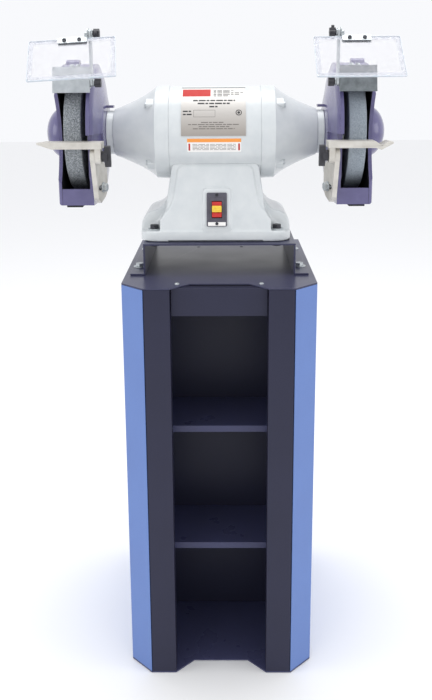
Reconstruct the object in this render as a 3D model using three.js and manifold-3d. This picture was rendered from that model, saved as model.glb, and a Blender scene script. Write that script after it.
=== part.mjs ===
// Pedestal bench grinder: a two-wheel grinder bolted to a hat-section riser on a steel cabinet stand.
// Millimetres, +Z up, front towards -Y, origin on the floor in the middle of the stand.
// The grinder's own parts are drawn about the middle of the shaft; side parts are drawn for the
// right-hand end (+X) and mirrored for the left-hand end.
import * as THREE from 'three';
import { mergeVertices } from 'three/addons/utils/BufferGeometryUtils.js';
import Module from 'manifold-3d';

const wasm = await Module();
wasm.setup();

// ---- driving dimensions -------------------------------------------------------------------------
const GAP = 0.3; // between pieces that touch
const RUN = 0.3; // radial play of the shaft in its bearings
const SLIP = 0.5; // side play beside plates that swing or slide

// cabinet stand
const STAND_W = 327;
const STAND_D = 412;
const STAND_H = 717;
const CORNER = 38; // 45 degree front corners
const SHEET = 1.5;
const PLATE = 2.5; // top and bottom plates
const OPENING = 81; // half the width of the front opening
const NOTCH = 32; // depth of the notch in the top and bottom plates
const POST_RETURN = 30;
const POST_HEM = 14;
const CORNER_SEAM = 1.9; // shadow line between post and side panel
const HEADER_DROP = 50;
const HEADER_SET_BACK = 12;
const HEADER_LIP = 15;
const SHELF_Z = [448, 219];
const SHELF_SET_BACK = 70;
const SHELF_LIP = 12;
const BACK_FLANGE = 25;
const CABLE_HOLE_X = 43;
const CABLE_HOLE_Y = 129;
const CABLE_HOLE_R = 3.5;

// riser
const RISER_H = 55.5;
const RISER_TOP = STAND_H + RISER_H;
const RISER_HALF = 131;
const RISER_FLANGE = 154;
const RISER_SHEET = 3;
const RISER_FRONT = -115;
const RISER_BACK = 145;
const RISER_BOLT_X = 142.5;
const RISER_BOLTS_Y = [-61, 91];
const RISER_BOLT_R = 4.5;

// grinder position
const GRINDER_X = -6.5; // the grinder stands a little left of the stand's middle
const SHAFT_Y = -4;
const SHAFT_HEIGHT = 182.2; // above the foot's underside
const SHAFT_Z = RISER_TOP + GAP + SHAFT_HEIGHT;
const BASE_Z = -SHAFT_HEIGHT;

// motor
const DRUM_R = 81;
const DRUM_HALF = 79.5;
const DRUM_WALL = 6.5;
const STATOR_R = 46;
const STATOR_HALF = 48;
const WINDING_HALF = 66;
const AIR_GAP = 1.5;
const SHAFT_R = 13;
const SEAT_R = 10;
const ARBOR_R = 7.9;
const BEARING_R = 23.5;
const BEARING_X = 157;
const BEARING_W = 15;
const BELL_WALL = 6;
const RIM_END = 103.5;
const COLLAR_R = 38.5;
const COLLAR_START = 179;
const COLLAR_END = 191.5;
const LUG_R = 8;
const LUG_CIRCLE = 69;
const LUG_END = 119;

// base casting
const FOOT_HALF_X = 131;
const FOOT_HALF_Y = 95;
const FOOT_TOP = -165;
const FOOT_CORNER = 30;
const NECK_TOP = -49;
const NECK_TAPER = 0.7; // depth of the neck at its top over its depth at the foot
const BASE_WALL = 7;
const BOLT_X = 107;
const BOLT_Y = 72;
const BOLT_R = 5.5;
const PAD_Z = -164;
const PAD_R = 15;
const COVER_SHEET = 2;
const CAPACITOR_R = 19;
const CAPACITOR_L = 84;
const GLAND_X = 45;
const GLAND_Z = -150;
const GLAND_R = 8.5;

// switch, drawn on its own tilted face
const SWITCH_Z = -127;
const SWITCH_W = 35;
const SWITCH_H = 58.5;
const SWITCH_PLATE = 2.5;
const SWITCH_BODY_W = 25;
const SWITCH_BODY_H = 42;
const SWITCH_BODY_D = 28;
const SWITCH_BOSS = 5;
const BOSS_W = 48;
const BOSS_H = 74;
const PADDLE_W = 16.5;
const PADDLE_H = 27;
const PADDLE_D = 8;
const PADDLE_PROUD = 1.5;
const PADDLE_PLAY = 1.2;
const KEY_H = 11;
const KEY_PROUD = 4;
const KEY_TONGUE_W = 8;
const KEY_TONGUE_H = 4;
const KEY_TONGUE_D = 5;
const KEY_RISE = 1.5; // key above the paddle's middle

// nameplate
const NAMEPLATE_HALF = 55;
const NAMEPLATE_X = -2.5;
const NAMEPLATE_LOW = -1; // degrees above the front of the drum
const NAMEPLATE_HIGH = 72;
const NAMEPLATE_SHEET = 0.8;

// wheels and their fixings
const WHEEL_R = 101.6;
const WHEEL_IN = 225;
const WHEEL_W = 29;
const FLANGE_R = 40;
const FLANGE_W = 8;
const NUT_AF = 24;
const NUT_W = 12;
const ARBOR_END = 277;

// guards
const WHEEL_ROOM = 11.4; // round the wheel inside the guard's band
const GUARD_BAND = 7;
const GUARD_R = WHEEL_R + WHEEL_ROOM + GUARD_BAND;
const GUARD_IN = 208;
const GUARD_WALL = 6;
const GUARD_OUT = 262;
const LIP_Y = -92;
const LIP_CORNER_Z = -118;
const LIP_BOTTOM_Y = -40;
const OPENING_LOW = -90;
const OPENING_HIGH = 88;
const HUB_BORE = 14;
const COVER_OUT = 269;
const COVER_EDGE = 3; // rolled edge of the cover
const CUT_R = 125; // side cut-out of the cover
const CUT_Y = -194;
const CUT_Z = -7;
const DOME_R = 46;
const DOME_END = 301;
const DOME_WALL = 4;

// spark arrestor
const ARRESTOR_IN = 206;
const ARRESTOR_OUT = 268;
const ARRESTOR_SHEET = 2.5;
const ARRESTOR_LOW = [-107, 72];
const ARRESTOR_TOP = [-97, 112];
const ARRESTOR_BACK = -66;
const ARRESTOR_PAD = [222, 246];

// eye shield
const LOWER_PIVOT = [-98, 88];
const UPPER_PIVOT = [-98, 167];
const EAR_R = 9;
const EAR_SHEET = 1.6;
const ARM_SHEET = 4;
const ARM_WIDTH = 14;
const KNOB_SCREW_R = 3;
const KNOB_R = 8;
const KNOB_L = 11;
const KNOB_NECK = 2; // nut showing between the grip and the arm
const WING_HALF = 11.5; // wing across an upper knob, axis to tip
const WING_SHEET = 6;
const LENS_W = 140.5;
const LENS_H = 94;
const LENS_SHEET = 3;
const LENS_X = 231;
const LENS_TOP = [-110, 159];
const LENS_TILT = 48; // degrees from upright, lower edge forwards
const CLAMP_FROM = 207;
const CLAMP_TO = 254;
const CLAMP_REACH = 11;
const CLAMP_SHEET = 1.5;
const LEFT_SKEW = 4.9; // the left shield hangs askew in its clamp

// tool rest
const TABLE_IN = 186;
const TABLE_OUT = 292;
const TABLE_TOP = -7;
const TABLE_THICK = 11;
const TABLE_FRONT = -141;
const TABLE_GAP = 2.6; // from table to wheel
const TABLE_BACK = -WHEEL_R - TABLE_GAP;
const TABLE_NOTCH = 5.2; // behind the table in the guard's inner wall
const REST_PIVOT = [-125, -31];
const REST_ARM_IN = 198;
const REST_ARM_SHEET = 8;
const REST_LUG_IN = 188;
const REST_BEND_Y = -100;
const REST_BEND = 13; // degrees the arm's lower leg turns towards the motor
const REST_END_Y = -58;
const REST_BOLT_Y = -80;
const REST_BOLT_Z = -88;
const REST_BOLT_R = 4;
const REST_SLOT = [-14, 12];
const ARM_CLEAR = 1; // from the arm's leg to the guard beside its boss
const REST_CLEAR = 3; // top of the notch beside the table
const GROOVE_X = 273;
const GROOVE_DEPTH = 7;

const BIG = 32; // facets round large circles
const MID = 16;
const SMALL = 10;
const rad = THREE.MathUtils.degToRad;

// ---- solids -------------------------------------------------------------------------------------
// A closed manifold solid from a three.js geometry.
function solid(geometry) {
  const bare = new THREE.BufferGeometry();
  bare.setAttribute('position', geometry.getAttribute('position').clone());
  if (geometry.index) {
    bare.setIndex(geometry.index.clone());
  }
  const merged = mergeVertices(bare, 1e-4);
  const index = merged.index.array;
  const kept = [];
  for (let i = 0; i < index.length; i += 3) {
    const [a, b, c] = [index[i], index[i + 1], index[i + 2]];
    if (a !== b && b !== c && a !== c) {
      kept.push(a, b, c);
    }
  }
  const mesh = new wasm.Mesh({
    numProp: 3,
    vertProperties: new Float32Array(merged.getAttribute('position').array),
    triVerts: new Uint32Array(kept),
  });
  mesh.merge();
  return new wasm.Manifold(mesh);
}

function unite(...solids) {
  return solids.reduce((a, b) => a.add(b));
}

function cut(body, ...tools) {
  return tools.reduce((a, b) => a.subtract(b), body);
}

// A geometry moved by a matrix.
function moved(geometry, x, y, z, turnX = 0, turnY = 0, turnZ = 0) {
  const matrix = new THREE.Matrix4().makeRotationFromEuler(new THREE.Euler(turnX, turnY, turnZ));
  matrix.setPosition(x, y, z);
  return geometry.clone().applyMatrix4(matrix);
}

function shapeOf(outline) {
  if (outline instanceof THREE.Shape) {
    return outline;
  }
  return new THREE.Shape(outline.map(([a, b]) => new THREE.Vector2(a, b)));
}

function extruded(outline, depth, curveSegments, bevel = 0) {
  const options = { depth: depth - 2 * bevel, curveSegments, bevelEnabled: bevel > 0 };
  if (bevel > 0) {
    Object.assign(options, {
      bevelSize: bevel,
      bevelThickness: bevel,
      bevelOffset: -bevel,
      bevelSegments: 1,
    });
  }
  const geometry = new THREE.ExtrudeGeometry(shapeOf(outline), options);
  return geometry.translate(0, 0, bevel);
}

// Outline in x, y swept from z0 to z1.
function sweepZ(outline, z0, z1, segments = MID, bevel = 0) {
  return extruded(outline, z1 - z0, segments, bevel).translate(0, 0, z0);
}

// Outline in y, z swept from x0 to x1.
function sweepX(outline, x0, x1, segments = MID, bevel = 0) {
  const geometry = extruded(outline, x1 - x0, segments, bevel);
  const basis = new THREE.Matrix4().makeBasis(
    new THREE.Vector3(0, 1, 0),
    new THREE.Vector3(0, 0, 1),
    new THREE.Vector3(1, 0, 0),
  );
  return geometry.applyMatrix4(basis).translate(x0, 0, 0);
}

// Outline in x, z swept from y0 to y1.
function sweepY(outline, y0, y1, segments = MID, bevel = 0) {
  const geometry = extruded(outline, y1 - y0, segments, bevel);
  const basis = new THREE.Matrix4().makeBasis(
    new THREE.Vector3(1, 0, 0),
    new THREE.Vector3(0, 0, 1),
    new THREE.Vector3(0, -1, 0),
  );
  return geometry.applyMatrix4(basis).translate(0, y1, 0);
}

// A closed profile of [x, radius] points turned about the X axis.
function turned(profile, segments = BIG) {
  const points = profile.map(([x, r]) => new THREE.Vector2(r, x));
  const area = THREE.ShapeUtils.area(points);
  if (area < 0) {
    points.reverse();
  }
  points.push(points[0].clone());
  const lathe = new THREE.LatheGeometry(points, segments);
  return lathe.rotateZ(-Math.PI / 2);
}

function ring(x0, x1, inner, outer, segments = BIG) {
  return turned([[x0, inner], [x1, inner], [x1, outer], [x0, outer]], segments);
}

function rod(x0, x1, radius, segments = MID) {
  return turned([[x0, 0], [x1, 0], [x1, radius], [x0, radius]], segments);
}

function box(x0, x1, y0, y1, z0, z1) {
  const geometry = new THREE.BoxGeometry(x1 - x0, y1 - y0, z1 - z0);
  return geometry.translate((x0 + x1) / 2, (y0 + y1) / 2, (z0 + z1) / 2);
}

// Upright round tool for holes and pads.
function post(x, y, z0, z1, radius, segments = SMALL) {
  const geometry = new THREE.CylinderGeometry(radius, radius, z1 - z0, segments);
  return geometry.rotateX(Math.PI / 2).translate(x, y, (z0 + z1) / 2);
}

function disc(y, z, radius) {
  const shape = new THREE.Shape();
  shape.absarc(y, z, radius, 0, 2 * Math.PI, false);
  return shape;
}

function capsule([ay, az], [by, bz], radius) {
  const along = Math.atan2(bz - az, by - ay);
  const shape = new THREE.Shape();
  shape.absarc(by, bz, radius, along - Math.PI / 2, along + Math.PI / 2, false);
  shape.absarc(ay, az, radius, along + Math.PI / 2, along + 1.5 * Math.PI, false);
  return shape;
}

function roundedRectangle(halfX, halfY, radius) {
  const shape = new THREE.Shape();
  const cx = halfX - radius;
  const cy = halfY - radius;
  shape.absarc(cx, cy, radius, 0, Math.PI / 2, false);
  shape.absarc(-cx, cy, radius, Math.PI / 2, Math.PI, false);
  shape.absarc(-cx, -cy, radius, Math.PI, 1.5 * Math.PI, false);
  shape.absarc(cx, -cy, radius, 1.5 * Math.PI, 2 * Math.PI, false);
  return shape;
}

function hexagon(acrossFlats) {
  const radius = acrossFlats / Math.sqrt(3);
  const corners = [];
  for (let i = 0; i < 6; i += 1) {
    corners.push([radius * Math.cos(i * Math.PI / 3), radius * Math.sin(i * Math.PI / 3)]);
  }
  return corners;
}

// Outline of sheet bent along a polyline, the thickness laid to the left of the line.
function bentSheet(line, thickness) {
  const points = line.map(([a, b]) => new THREE.Vector2(a, b));
  const normals = [];
  for (let i = 0; i + 1 < points.length; i += 1) {
    const along = points[i + 1].clone().sub(points[i]).normalize();
    normals.push(new THREE.Vector2(-along.y, along.x));
  }
  const far = points.map((point, i) => {
    const before = normals[Math.max(i - 1, 0)];
    const after = normals[Math.min(i, normals.length - 1)];
    const sum = before.clone().add(after);
    const reach = (2 * thickness) / sum.lengthSq();
    return [point.x + sum.x * reach, point.y + sum.y * reach];
  });
  return [...line, ...far.reverse()];
}

const root = new THREE.Group();
root.name = 'pedestal_bench_grinder';

function add(parent, name, body, colour) {
  const mesh = body.getMesh();
  const geometry = new THREE.BufferGeometry();
  const positions = [];
  for (let i = 0; i < mesh.vertProperties.length; i += mesh.numProp) {
    positions.push(mesh.vertProperties[i], mesh.vertProperties[i + 1], mesh.vertProperties[i + 2]);
  }
  geometry.setAttribute('position', new THREE.Float32BufferAttribute(positions, 3));
  geometry.setIndex(Array.from(mesh.triVerts));
  const material = new THREE.MeshStandardMaterial({ color: colour });
  const node = new THREE.Mesh(geometry, material);
  node.name = name;
  parent.add(node);
}

// ---- cabinet stand ------------------------------------------------------------------------------
const HALF_W = STAND_W / 2;
const HALF_D = STAND_D / 2;
const FACE_HALF = HALF_W - CORNER;
const WALL_LOW = PLATE + GAP;
const WALL_HIGH = STAND_H - PLATE - GAP;
const INNER_HALF = HALF_W - SHEET - GAP;
const NAVY = 0x4a4a66;
const SKY = 0x84a0cf;

function endPlateOutline() {
  return [
    [-OPENING, -HALF_D],
    [-OPENING + NOTCH, -HALF_D + NOTCH],
    [OPENING - NOTCH, -HALF_D + NOTCH],
    [OPENING, -HALF_D],
    [FACE_HALF, -HALF_D],
    [HALF_W, -HALF_D + CORNER],
    [HALF_W, HALF_D],
    [-HALF_W, HALF_D],
    [-HALF_W, -HALF_D + CORNER],
    [-FACE_HALF, -HALF_D],
  ];
}

function topPlate() {
  const plate = solid(sweepZ(endPlateOutline(), STAND_H - PLATE, STAND_H));
  const holes = [];
  for (const side of [-1, 1]) {
    holes.push(solid(post(side * CABLE_HOLE_X, CABLE_HOLE_Y, STAND_H - 9, STAND_H + 9, CABLE_HOLE_R)));
    for (const y of RISER_BOLTS_Y) {
      holes.push(solid(post(side * RISER_BOLT_X, y, STAND_H - 9, STAND_H + 9, RISER_BOLT_R)));
    }
  }
  return cut(plate, ...holes);
}

function bottomPlate() {
  return solid(sweepZ(endPlateOutline(), 0, PLATE));
}

// Side panel wrapping the 45 degree corner, the side and a narrow flange at the back.
function sidePanel() {
  const line = [
    [HALF_W - BACK_FLANGE, HALF_D],
    [HALF_W, HALF_D],
    [HALF_W, -HALF_D + CORNER],
    [FACE_HALF, -HALF_D],
  ];
  return solid(sweepZ(bentSheet(line.reverse(), SHEET), WALL_LOW, WALL_HIGH));
}

// Front post: a face with a hem beside the corner and a return beside the opening.
function frontPost() {
  const outer = FACE_HALF - CORNER_SEAM;
  const line = [
    [OPENING, -HALF_D + POST_RETURN],
    [OPENING, -HALF_D],
    [outer, -HALF_D],
    [outer, -HALF_D + POST_HEM],
  ];
  return solid(sweepZ(bentSheet(line, SHEET), WALL_LOW, WALL_HIGH));
}

// Header panel set back between the posts, folded back along its top and bottom edges.
function header() {
  const front = -HALF_D + HEADER_SET_BACK;
  const low = STAND_H - HEADER_DROP;
  const high = WALL_HIGH;
  const line = [
    [front + HEADER_LIP, high],
    [front, high],
    [front, low],
    [front + HEADER_LIP, low],
  ];
  const half = OPENING - SHEET;
  return solid(sweepX(bentSheet(line, SHEET), -half, half));
}

function partition() {
  return solid(box(-INNER_HALF, INNER_HALF, -SHEET / 2, SHEET / 2, WALL_LOW, WALL_HIGH));
}

function backPanel() {
  const back = HALF_D - SHEET - GAP;
  return solid(box(-INNER_HALF, INNER_HALF, back - SHEET, back, WALL_LOW, WALL_HIGH));
}

// Shelf: a tray turned upside down, its edges folded down.
function shelf(top) {
  const front = -HALF_D + SHELF_SET_BACK;
  const back = -SHEET / 2 - GAP;
  const tray = solid(box(-INNER_HALF, INNER_HALF, front, back, top - SHELF_LIP, top));
  const hollow = solid(box(-INNER_HALF + SHEET, INNER_HALF - SHEET, front + SHEET, back - SHEET,
    top - SHELF_LIP - 1, top - SHEET));
  return cut(tray, hollow);
}

// Hat-section riser bolted to the top plate; the grinder's base is bolted on it.
function riser() {
  const foot = STAND_H + GAP;
  const line = [
    [-RISER_FLANGE, foot + RISER_SHEET],
    [-RISER_HALF, foot + RISER_SHEET],
    [-RISER_HALF, RISER_TOP],
    [RISER_HALF, RISER_TOP],
    [RISER_HALF, foot + RISER_SHEET],
    [RISER_FLANGE, foot + RISER_SHEET],
  ];
  const hat = solid(sweepY(bentSheet(line.reverse(), RISER_SHEET), RISER_FRONT, RISER_BACK));
  const holes = [];
  for (const side of [-1, 1]) {
    for (const y of RISER_BOLTS_Y) {
      holes.push(solid(post(side * RISER_BOLT_X, y, foot - 9, foot + 9, RISER_BOLT_R)));
    }
    for (const end of [-1, 1]) {
      holes.push(solid(post(GRINDER_X + side * BOLT_X, SHAFT_Y + end * BOLT_Y,
        RISER_TOP - 9, RISER_TOP + 9, BOLT_R)));
    }
  }
  return cut(hat, ...holes);
}

function buildStand() {
  const stand = new THREE.Group();
  stand.name = 'stand';
  add(stand, 'stand_top_plate', topPlate(), NAVY);
  add(stand, 'stand_bottom_plate', bottomPlate(), NAVY);
  const mirrors = { right: 1, left: -1 };
  for (const [side, sign] of Object.entries(mirrors)) {
    const half = new THREE.Group();
    half.name = `stand_${side}`;
    half.scale.x = sign;
    add(half, `stand_side_panel_${side}`, sidePanel(), SKY);
    add(half, `stand_front_post_${side}`, frontPost(), NAVY);
    stand.add(half);
  }
  add(stand, 'stand_header', header(), NAVY);
  add(stand, 'stand_partition', partition(), NAVY);
  add(stand, 'stand_back_panel', backPanel(), NAVY);
  add(stand, 'shelf_upper', shelf(SHELF_Z[0]), NAVY);
  add(stand, 'shelf_lower', shelf(SHELF_Z[1]), NAVY);
  add(stand, 'riser_bracket', riser(), NAVY);
  return stand;
}

// ---- base and switch ----------------------------------------------------------------------------
const CAST = 0xdcdedf;
const NECK_SLOPE = (FOOT_HALF_Y - 2) * (1 - NECK_TAPER) / (NECK_TOP - FOOT_TOP);
const FACE_TILT = Math.atan(NECK_SLOPE);

// Front outline of the neck with its flared ears, drawn inset by a wall thickness for the hollow.
function neckOutline(inset, top) {
  const shape = new THREE.Shape();
  const foot = FOOT_HALF_X - inset;
  const waist = 83 - inset;
  const head = 76 - inset;
  shape.moveTo(-foot, FOOT_TOP - 4);
  shape.lineTo(foot, FOOT_TOP - 4);
  shape.bezierCurveTo(foot, FOOT_TOP + 22, foot - 14, FOOT_TOP + 26, foot - 24, FOOT_TOP + 31 - inset);
  shape.bezierCurveTo(foot - 38, FOOT_TOP + 37 - inset, waist, FOOT_TOP + 42, waist, FOOT_TOP + 68);
  shape.lineTo(head, top - 10);
  shape.quadraticCurveTo(head - 1, top, head - 10, top);
  shape.lineTo(-head + 10, top);
  shape.quadraticCurveTo(-head + 1, top, -head, top - 10);
  shape.lineTo(-waist, FOOT_TOP + 68);
  shape.bezierCurveTo(-waist, FOOT_TOP + 42, 38 - foot, FOOT_TOP + 37 - inset,
    24 - foot, FOOT_TOP + 31 - inset);
  shape.bezierCurveTo(14 - foot, FOOT_TOP + 26, -foot, FOOT_TOP + 22, -foot, FOOT_TOP - 4);
  return shape;
}

// Narrows a geometry in depth with height, as the neck leans back.
function leaned(geometry) {
  const position = geometry.getAttribute('position');
  const full = FOOT_HALF_Y - 2;
  for (let i = 0; i < position.count; i += 1) {
    const rise = position.getZ(i) - FOOT_TOP;
    position.setY(i, position.getY(i) * (1 - rise * NECK_SLOPE / full));
  }
  return geometry;
}

function neck(inset, top, bevel) {
  const half = FOOT_HALF_Y - 2 - inset;
  return solid(leaned(sweepY(neckOutline(inset, top), -half, half, 4, bevel)));
}

// Point on the neck's front face at height z, and the frame of the tilted switch face there.
function onSwitchFace(geometry) {
  const faceY = -(FOOT_HALF_Y - 2) + (SWITCH_Z - FOOT_TOP) * NECK_SLOPE;
  return moved(geometry, 0, faceY, SWITCH_Z, -FACE_TILT);
}

function baseCasting() {
  const foot = roundedRectangle(FOOT_HALF_X - 2, FOOT_HALF_Y, FOOT_CORNER);
  let body = solid(sweepZ(foot, BASE_Z, FOOT_TOP, 3, 5));
  body = unite(body, neck(0, NECK_TOP, 6));
  const face = roundedRectangle(BOSS_W / 2, BOSS_H / 2, 5);
  body = unite(body, solid(onSwitchFace(sweepY(face, -SWITCH_BOSS, 12, 3, 2))));
  const plan = roundedRectangle(FOOT_HALF_X - 2, FOOT_HALF_Y, FOOT_CORNER);
  body = body.intersect(solid(sweepZ(plan, BASE_Z, NECK_TOP + 1, 3)));
  const hollow = roundedRectangle(FOOT_HALF_X - 12, FOOT_HALF_Y - 9, FOOT_CORNER - 8);
  body = cut(body, solid(sweepZ(hollow, BASE_Z - 1, FOOT_TOP - 3, 3)));
  body = cut(body, neck(BASE_WALL + 3, -DRUM_R - GAP - BASE_WALL, 0));
  const column = [];
  for (const side of [-1, 1]) {
    for (const end of [-1, 1]) {
      column.push(solid(post(side * BOLT_X, end * BOLT_Y, BASE_Z, PAD_Z, PAD_R - 3)));
    }
  }
  body = unite(body, ...column);
  const tools = [solid(rod(-DRUM_HALF - 9, DRUM_HALF + 9, DRUM_R + GAP, BIG))];
  for (const side of [-1, 1]) {
    for (const end of [-1, 1]) {
      tools.push(solid(post(side * BOLT_X, end * BOLT_Y, PAD_Z, PAD_Z + 60, PAD_R)));
      tools.push(solid(box(side * BOLT_X - PAD_R, side * BOLT_X + PAD_R,
        Math.min(end * BOLT_Y, end * (FOOT_HALF_Y + 9)), Math.max(end * BOLT_Y, end * (FOOT_HALF_Y + 9)),
        PAD_Z, PAD_Z + 60)));
      tools.push(solid(post(side * BOLT_X, end * BOLT_Y, BASE_Z - 9, PAD_Z + 9, BOLT_R)));
    }
  }
  const windowW = SWITCH_BODY_W / 2 + GAP;
  const windowH = SWITCH_BODY_H / 2 + GAP;
  tools.push(solid(onSwitchFace(box(-windowW, windowW, -SWITCH_BOSS - 9, 22, -windowH, windowH))));
  tools.push(solid(glandRound(FOOT_HALF_Y - 40, FOOT_HALF_Y + 9, GLAND_R + GAP)));
  return cut(body, ...tools);
}

// Round bar along Y at the cable gland.
function glandRound(y0, y1, radius, segments = SMALL) {
  const geometry = new THREE.CylinderGeometry(radius, radius, y1 - y0, segments);
  return geometry.translate(GLAND_X, (y0 + y1) / 2, GLAND_Z);
}

function baseCover() {
  const shape = roundedRectangle(FOOT_HALF_X - 12 - GAP, FOOT_HALF_Y - 9 - GAP, FOOT_CORNER - 8);
  const cover = solid(sweepZ(shape, BASE_Z, BASE_Z + COVER_SHEET, 3));
  const corners = [];
  for (const side of [-1, 1]) {
    for (const end of [-1, 1]) {
      corners.push(solid(post(side * BOLT_X, end * BOLT_Y, BASE_Z - 9, BASE_Z + 9, PAD_R - 3 + GAP)));
    }
  }
  return cut(cover, ...corners);
}

function startCapacitor() {
  const can = rod(-CAPACITOR_L / 2, CAPACITOR_L / 2, CAPACITOR_R, MID);
  return solid(can.translate(-8, 30, BASE_Z + COVER_SHEET + GAP + CAPACITOR_R));
}

function cableGland() {
  const wall = FOOT_HALF_Y - 2 - (GLAND_Z - FOOT_TOP) * NECK_SLOPE;
  const stem = solid(glandRound(wall - 16, wall + 14, GLAND_R));
  const nut = solid(glandRound(wall + 3.5, wall + 9, GLAND_R + 3.5, 6));
  const wire = solid(glandRound(wall - 20, wall + 20, GLAND_R - 4));
  return cut(unite(stem, nut), wire);
}

function switchPlate() {
  const low = -SWITCH_BOSS - GAP;
  const outline = roundedRectangle(SWITCH_W / 2, SWITCH_H / 2, 2);
  const face = solid(sweepY(outline, low - SWITCH_PLATE, low, 3));
  const body = solid(box(-SWITCH_BODY_W / 2, SWITCH_BODY_W / 2, low - 1, low + SWITCH_BODY_D,
    -SWITCH_BODY_H / 2, SWITCH_BODY_H / 2));
  const halfW = PADDLE_W / 2 + PADDLE_PLAY / 2;
  const halfH = PADDLE_H / 2 + PADDLE_PLAY;
  const well = solid(box(-halfW, halfW, low - 9, low + PADDLE_D + 4, -halfH, halfH));
  return cut(unite(face, body), well);
}

// Rocking paddle with a pocket for the safety key.
function switchPaddle() {
  const face = -SWITCH_BOSS - GAP - SWITCH_PLATE - PADDLE_PROUD;
  const outline = roundedRectangle(PADDLE_W / 2, PADDLE_H / 2, 1.2);
  const body = solid(sweepY(outline, face, face + PADDLE_D, 3));
  const halfW = KEY_TONGUE_W / 2 + GAP;
  const halfH = KEY_TONGUE_H / 2 + GAP;
  const pocket = solid(box(-halfW, halfW, face - 1, face + KEY_TONGUE_D + GAP,
    KEY_RISE - halfH, KEY_RISE + halfH));
  return cut(body, pocket);
}

function switchKey() {
  const face = -SWITCH_BOSS - GAP - SWITCH_PLATE - PADDLE_PROUD - GAP;
  const outline = roundedRectangle(PADDLE_W / 2, KEY_H / 2, 1.5);
  const head = solid(sweepY(outline, face - KEY_PROUD, face, 3).translate(0, 0, KEY_RISE));
  const tongue = solid(box(-KEY_TONGUE_W / 2, KEY_TONGUE_W / 2, face - 1, face + KEY_TONGUE_D,
    KEY_RISE - KEY_TONGUE_H / 2, KEY_RISE + KEY_TONGUE_H / 2));
  return unite(head, tongue);
}

// A solid built flat on the switch face, tilted into place.
function tilted(body) {
  const faceY = -(FOOT_HALF_Y - 2) + (SWITCH_Z - FOOT_TOP) * NECK_SLOPE;
  const matrix = new THREE.Matrix4().makeRotationX(-FACE_TILT).setPosition(0, faceY, SWITCH_Z);
  return body.transform(matrix.elements);
}

// ---- motor --------------------------------------------------------------------------------------
function motorHousing() {
  return solid(ring(-DRUM_HALF, DRUM_HALF, DRUM_R - DRUM_WALL, DRUM_R, BIG));
}

function stator() {
  const outer = DRUM_R - DRUM_WALL - GAP;
  return solid(turned([
    [-WINDING_HALF, STATOR_R + 4],
    [-STATOR_HALF, STATOR_R + 3],
    [-STATOR_HALF, STATOR_R],
    [STATOR_HALF, STATOR_R],
    [STATOR_HALF, STATOR_R + 3],
    [WINDING_HALF, STATOR_R + 4],
    [WINDING_HALF, outer - 8],
    [STATOR_HALF, outer - 6],
    [STATOR_HALF, outer],
    [-STATOR_HALF, outer],
    [-STATOR_HALF, outer - 6],
    [-WINDING_HALF, outer - 8],
  ], MID));
}

function rotorShaft() {
  const half = [
    [STATOR_HALF - 2, STATOR_R - AIR_GAP],
    [STATOR_HALF - 2, SHAFT_R],
    [BEARING_X - GAP, SHAFT_R],
    [BEARING_X - GAP, SEAT_R],
    [WHEEL_IN - FLANGE_W - GAP * 2, SEAT_R],
    [WHEEL_IN - FLANGE_W - GAP * 2, ARBOR_R],
    [ARBOR_END, ARBOR_R],
    [ARBOR_END, 0],
  ];
  const other = half.map(([x, r]) => [-x, r]).reverse();
  return solid(turned([...other, ...half], MID));
}

function bearing() {
  return solid(ring(BEARING_X, BEARING_X + BEARING_W, SEAT_R + RUN, BEARING_R, MID));
}

// Curve of the bell's cone from its rim to the collar.
function bellCone(offset, steps) {
  const curve = new THREE.QuadraticBezierCurve(
    new THREE.Vector2(RIM_END + 2, DRUM_R - 2.5 - offset),
    new THREE.Vector2(RIM_END + 23, 61 - offset),
    new THREE.Vector2(COLLAR_START, COLLAR_R + 2.5 - offset),
  );
  return curve.getPoints(steps).map((point) => [point.x, point.y]);
}

// Cast end bell: rim, concave cone, collar, bearing seat and four screw lugs.
function endBell() {
  const start = DRUM_HALF + GAP;
  const inside = bellCone(BELL_WALL, 4).filter(([x]) => x < BEARING_X - 8).reverse();
  const shell = solid(turned([
    [start, DRUM_R - 0.5],
    [RIM_END, DRUM_R - 0.5],
    ...bellCone(0, 5),
    [COLLAR_START, COLLAR_R],
    [COLLAR_END, COLLAR_R],
    [COLLAR_END, SEAT_R + 3],
    [BEARING_X + BEARING_W + GAP, SEAT_R + 3],
    [BEARING_X + BEARING_W + GAP, BEARING_R + GAP],
    [BEARING_X - 4, BEARING_R + GAP],
    [BEARING_X - 4, BEARING_R + 6],
    ...inside,
    [RIM_END, DRUM_R - DRUM_WALL],
    [start, DRUM_R - DRUM_WALL],
  ], BIG));
  const lugs = [45, 135, 225, 315].map((angle) => {
    const y = LUG_CIRCLE * Math.cos(rad(angle));
    const z = LUG_CIRCLE * Math.sin(rad(angle));
    return solid(rod(RIM_END - 6, LUG_END, LUG_R, SMALL).translate(0, y, z));
  });
  return unite(shell, ...lugs);
}

// Thin plate curved round the front of the drum.
function nameplate() {
  const inner = DRUM_R + GAP;
  const outer = inner + NAMEPLATE_SHEET;
  const shape = new THREE.Shape();
  const low = Math.PI - rad(NAMEPLATE_LOW);
  const high = Math.PI - rad(NAMEPLATE_HIGH);
  shape.absarc(0, 0, outer, high, low, false);
  shape.absarc(0, 0, inner, low, high, true);
  return solid(sweepX(shape, NAMEPLATE_X - NAMEPLATE_HALF, NAMEPLATE_X + NAMEPLATE_HALF, 12));
}

// ---- wheel and guard ----------------------------------------------------------------------------
const PURPLE = 0x7d77a0;
const ZINC = 0x9a9f9f;
const BLACK = 0x2c2c30;
const WHEEL_OUT = WHEEL_IN + WHEEL_W;
const FLANGE_OUT = WHEEL_OUT + FLANGE_W - 1;

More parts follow.
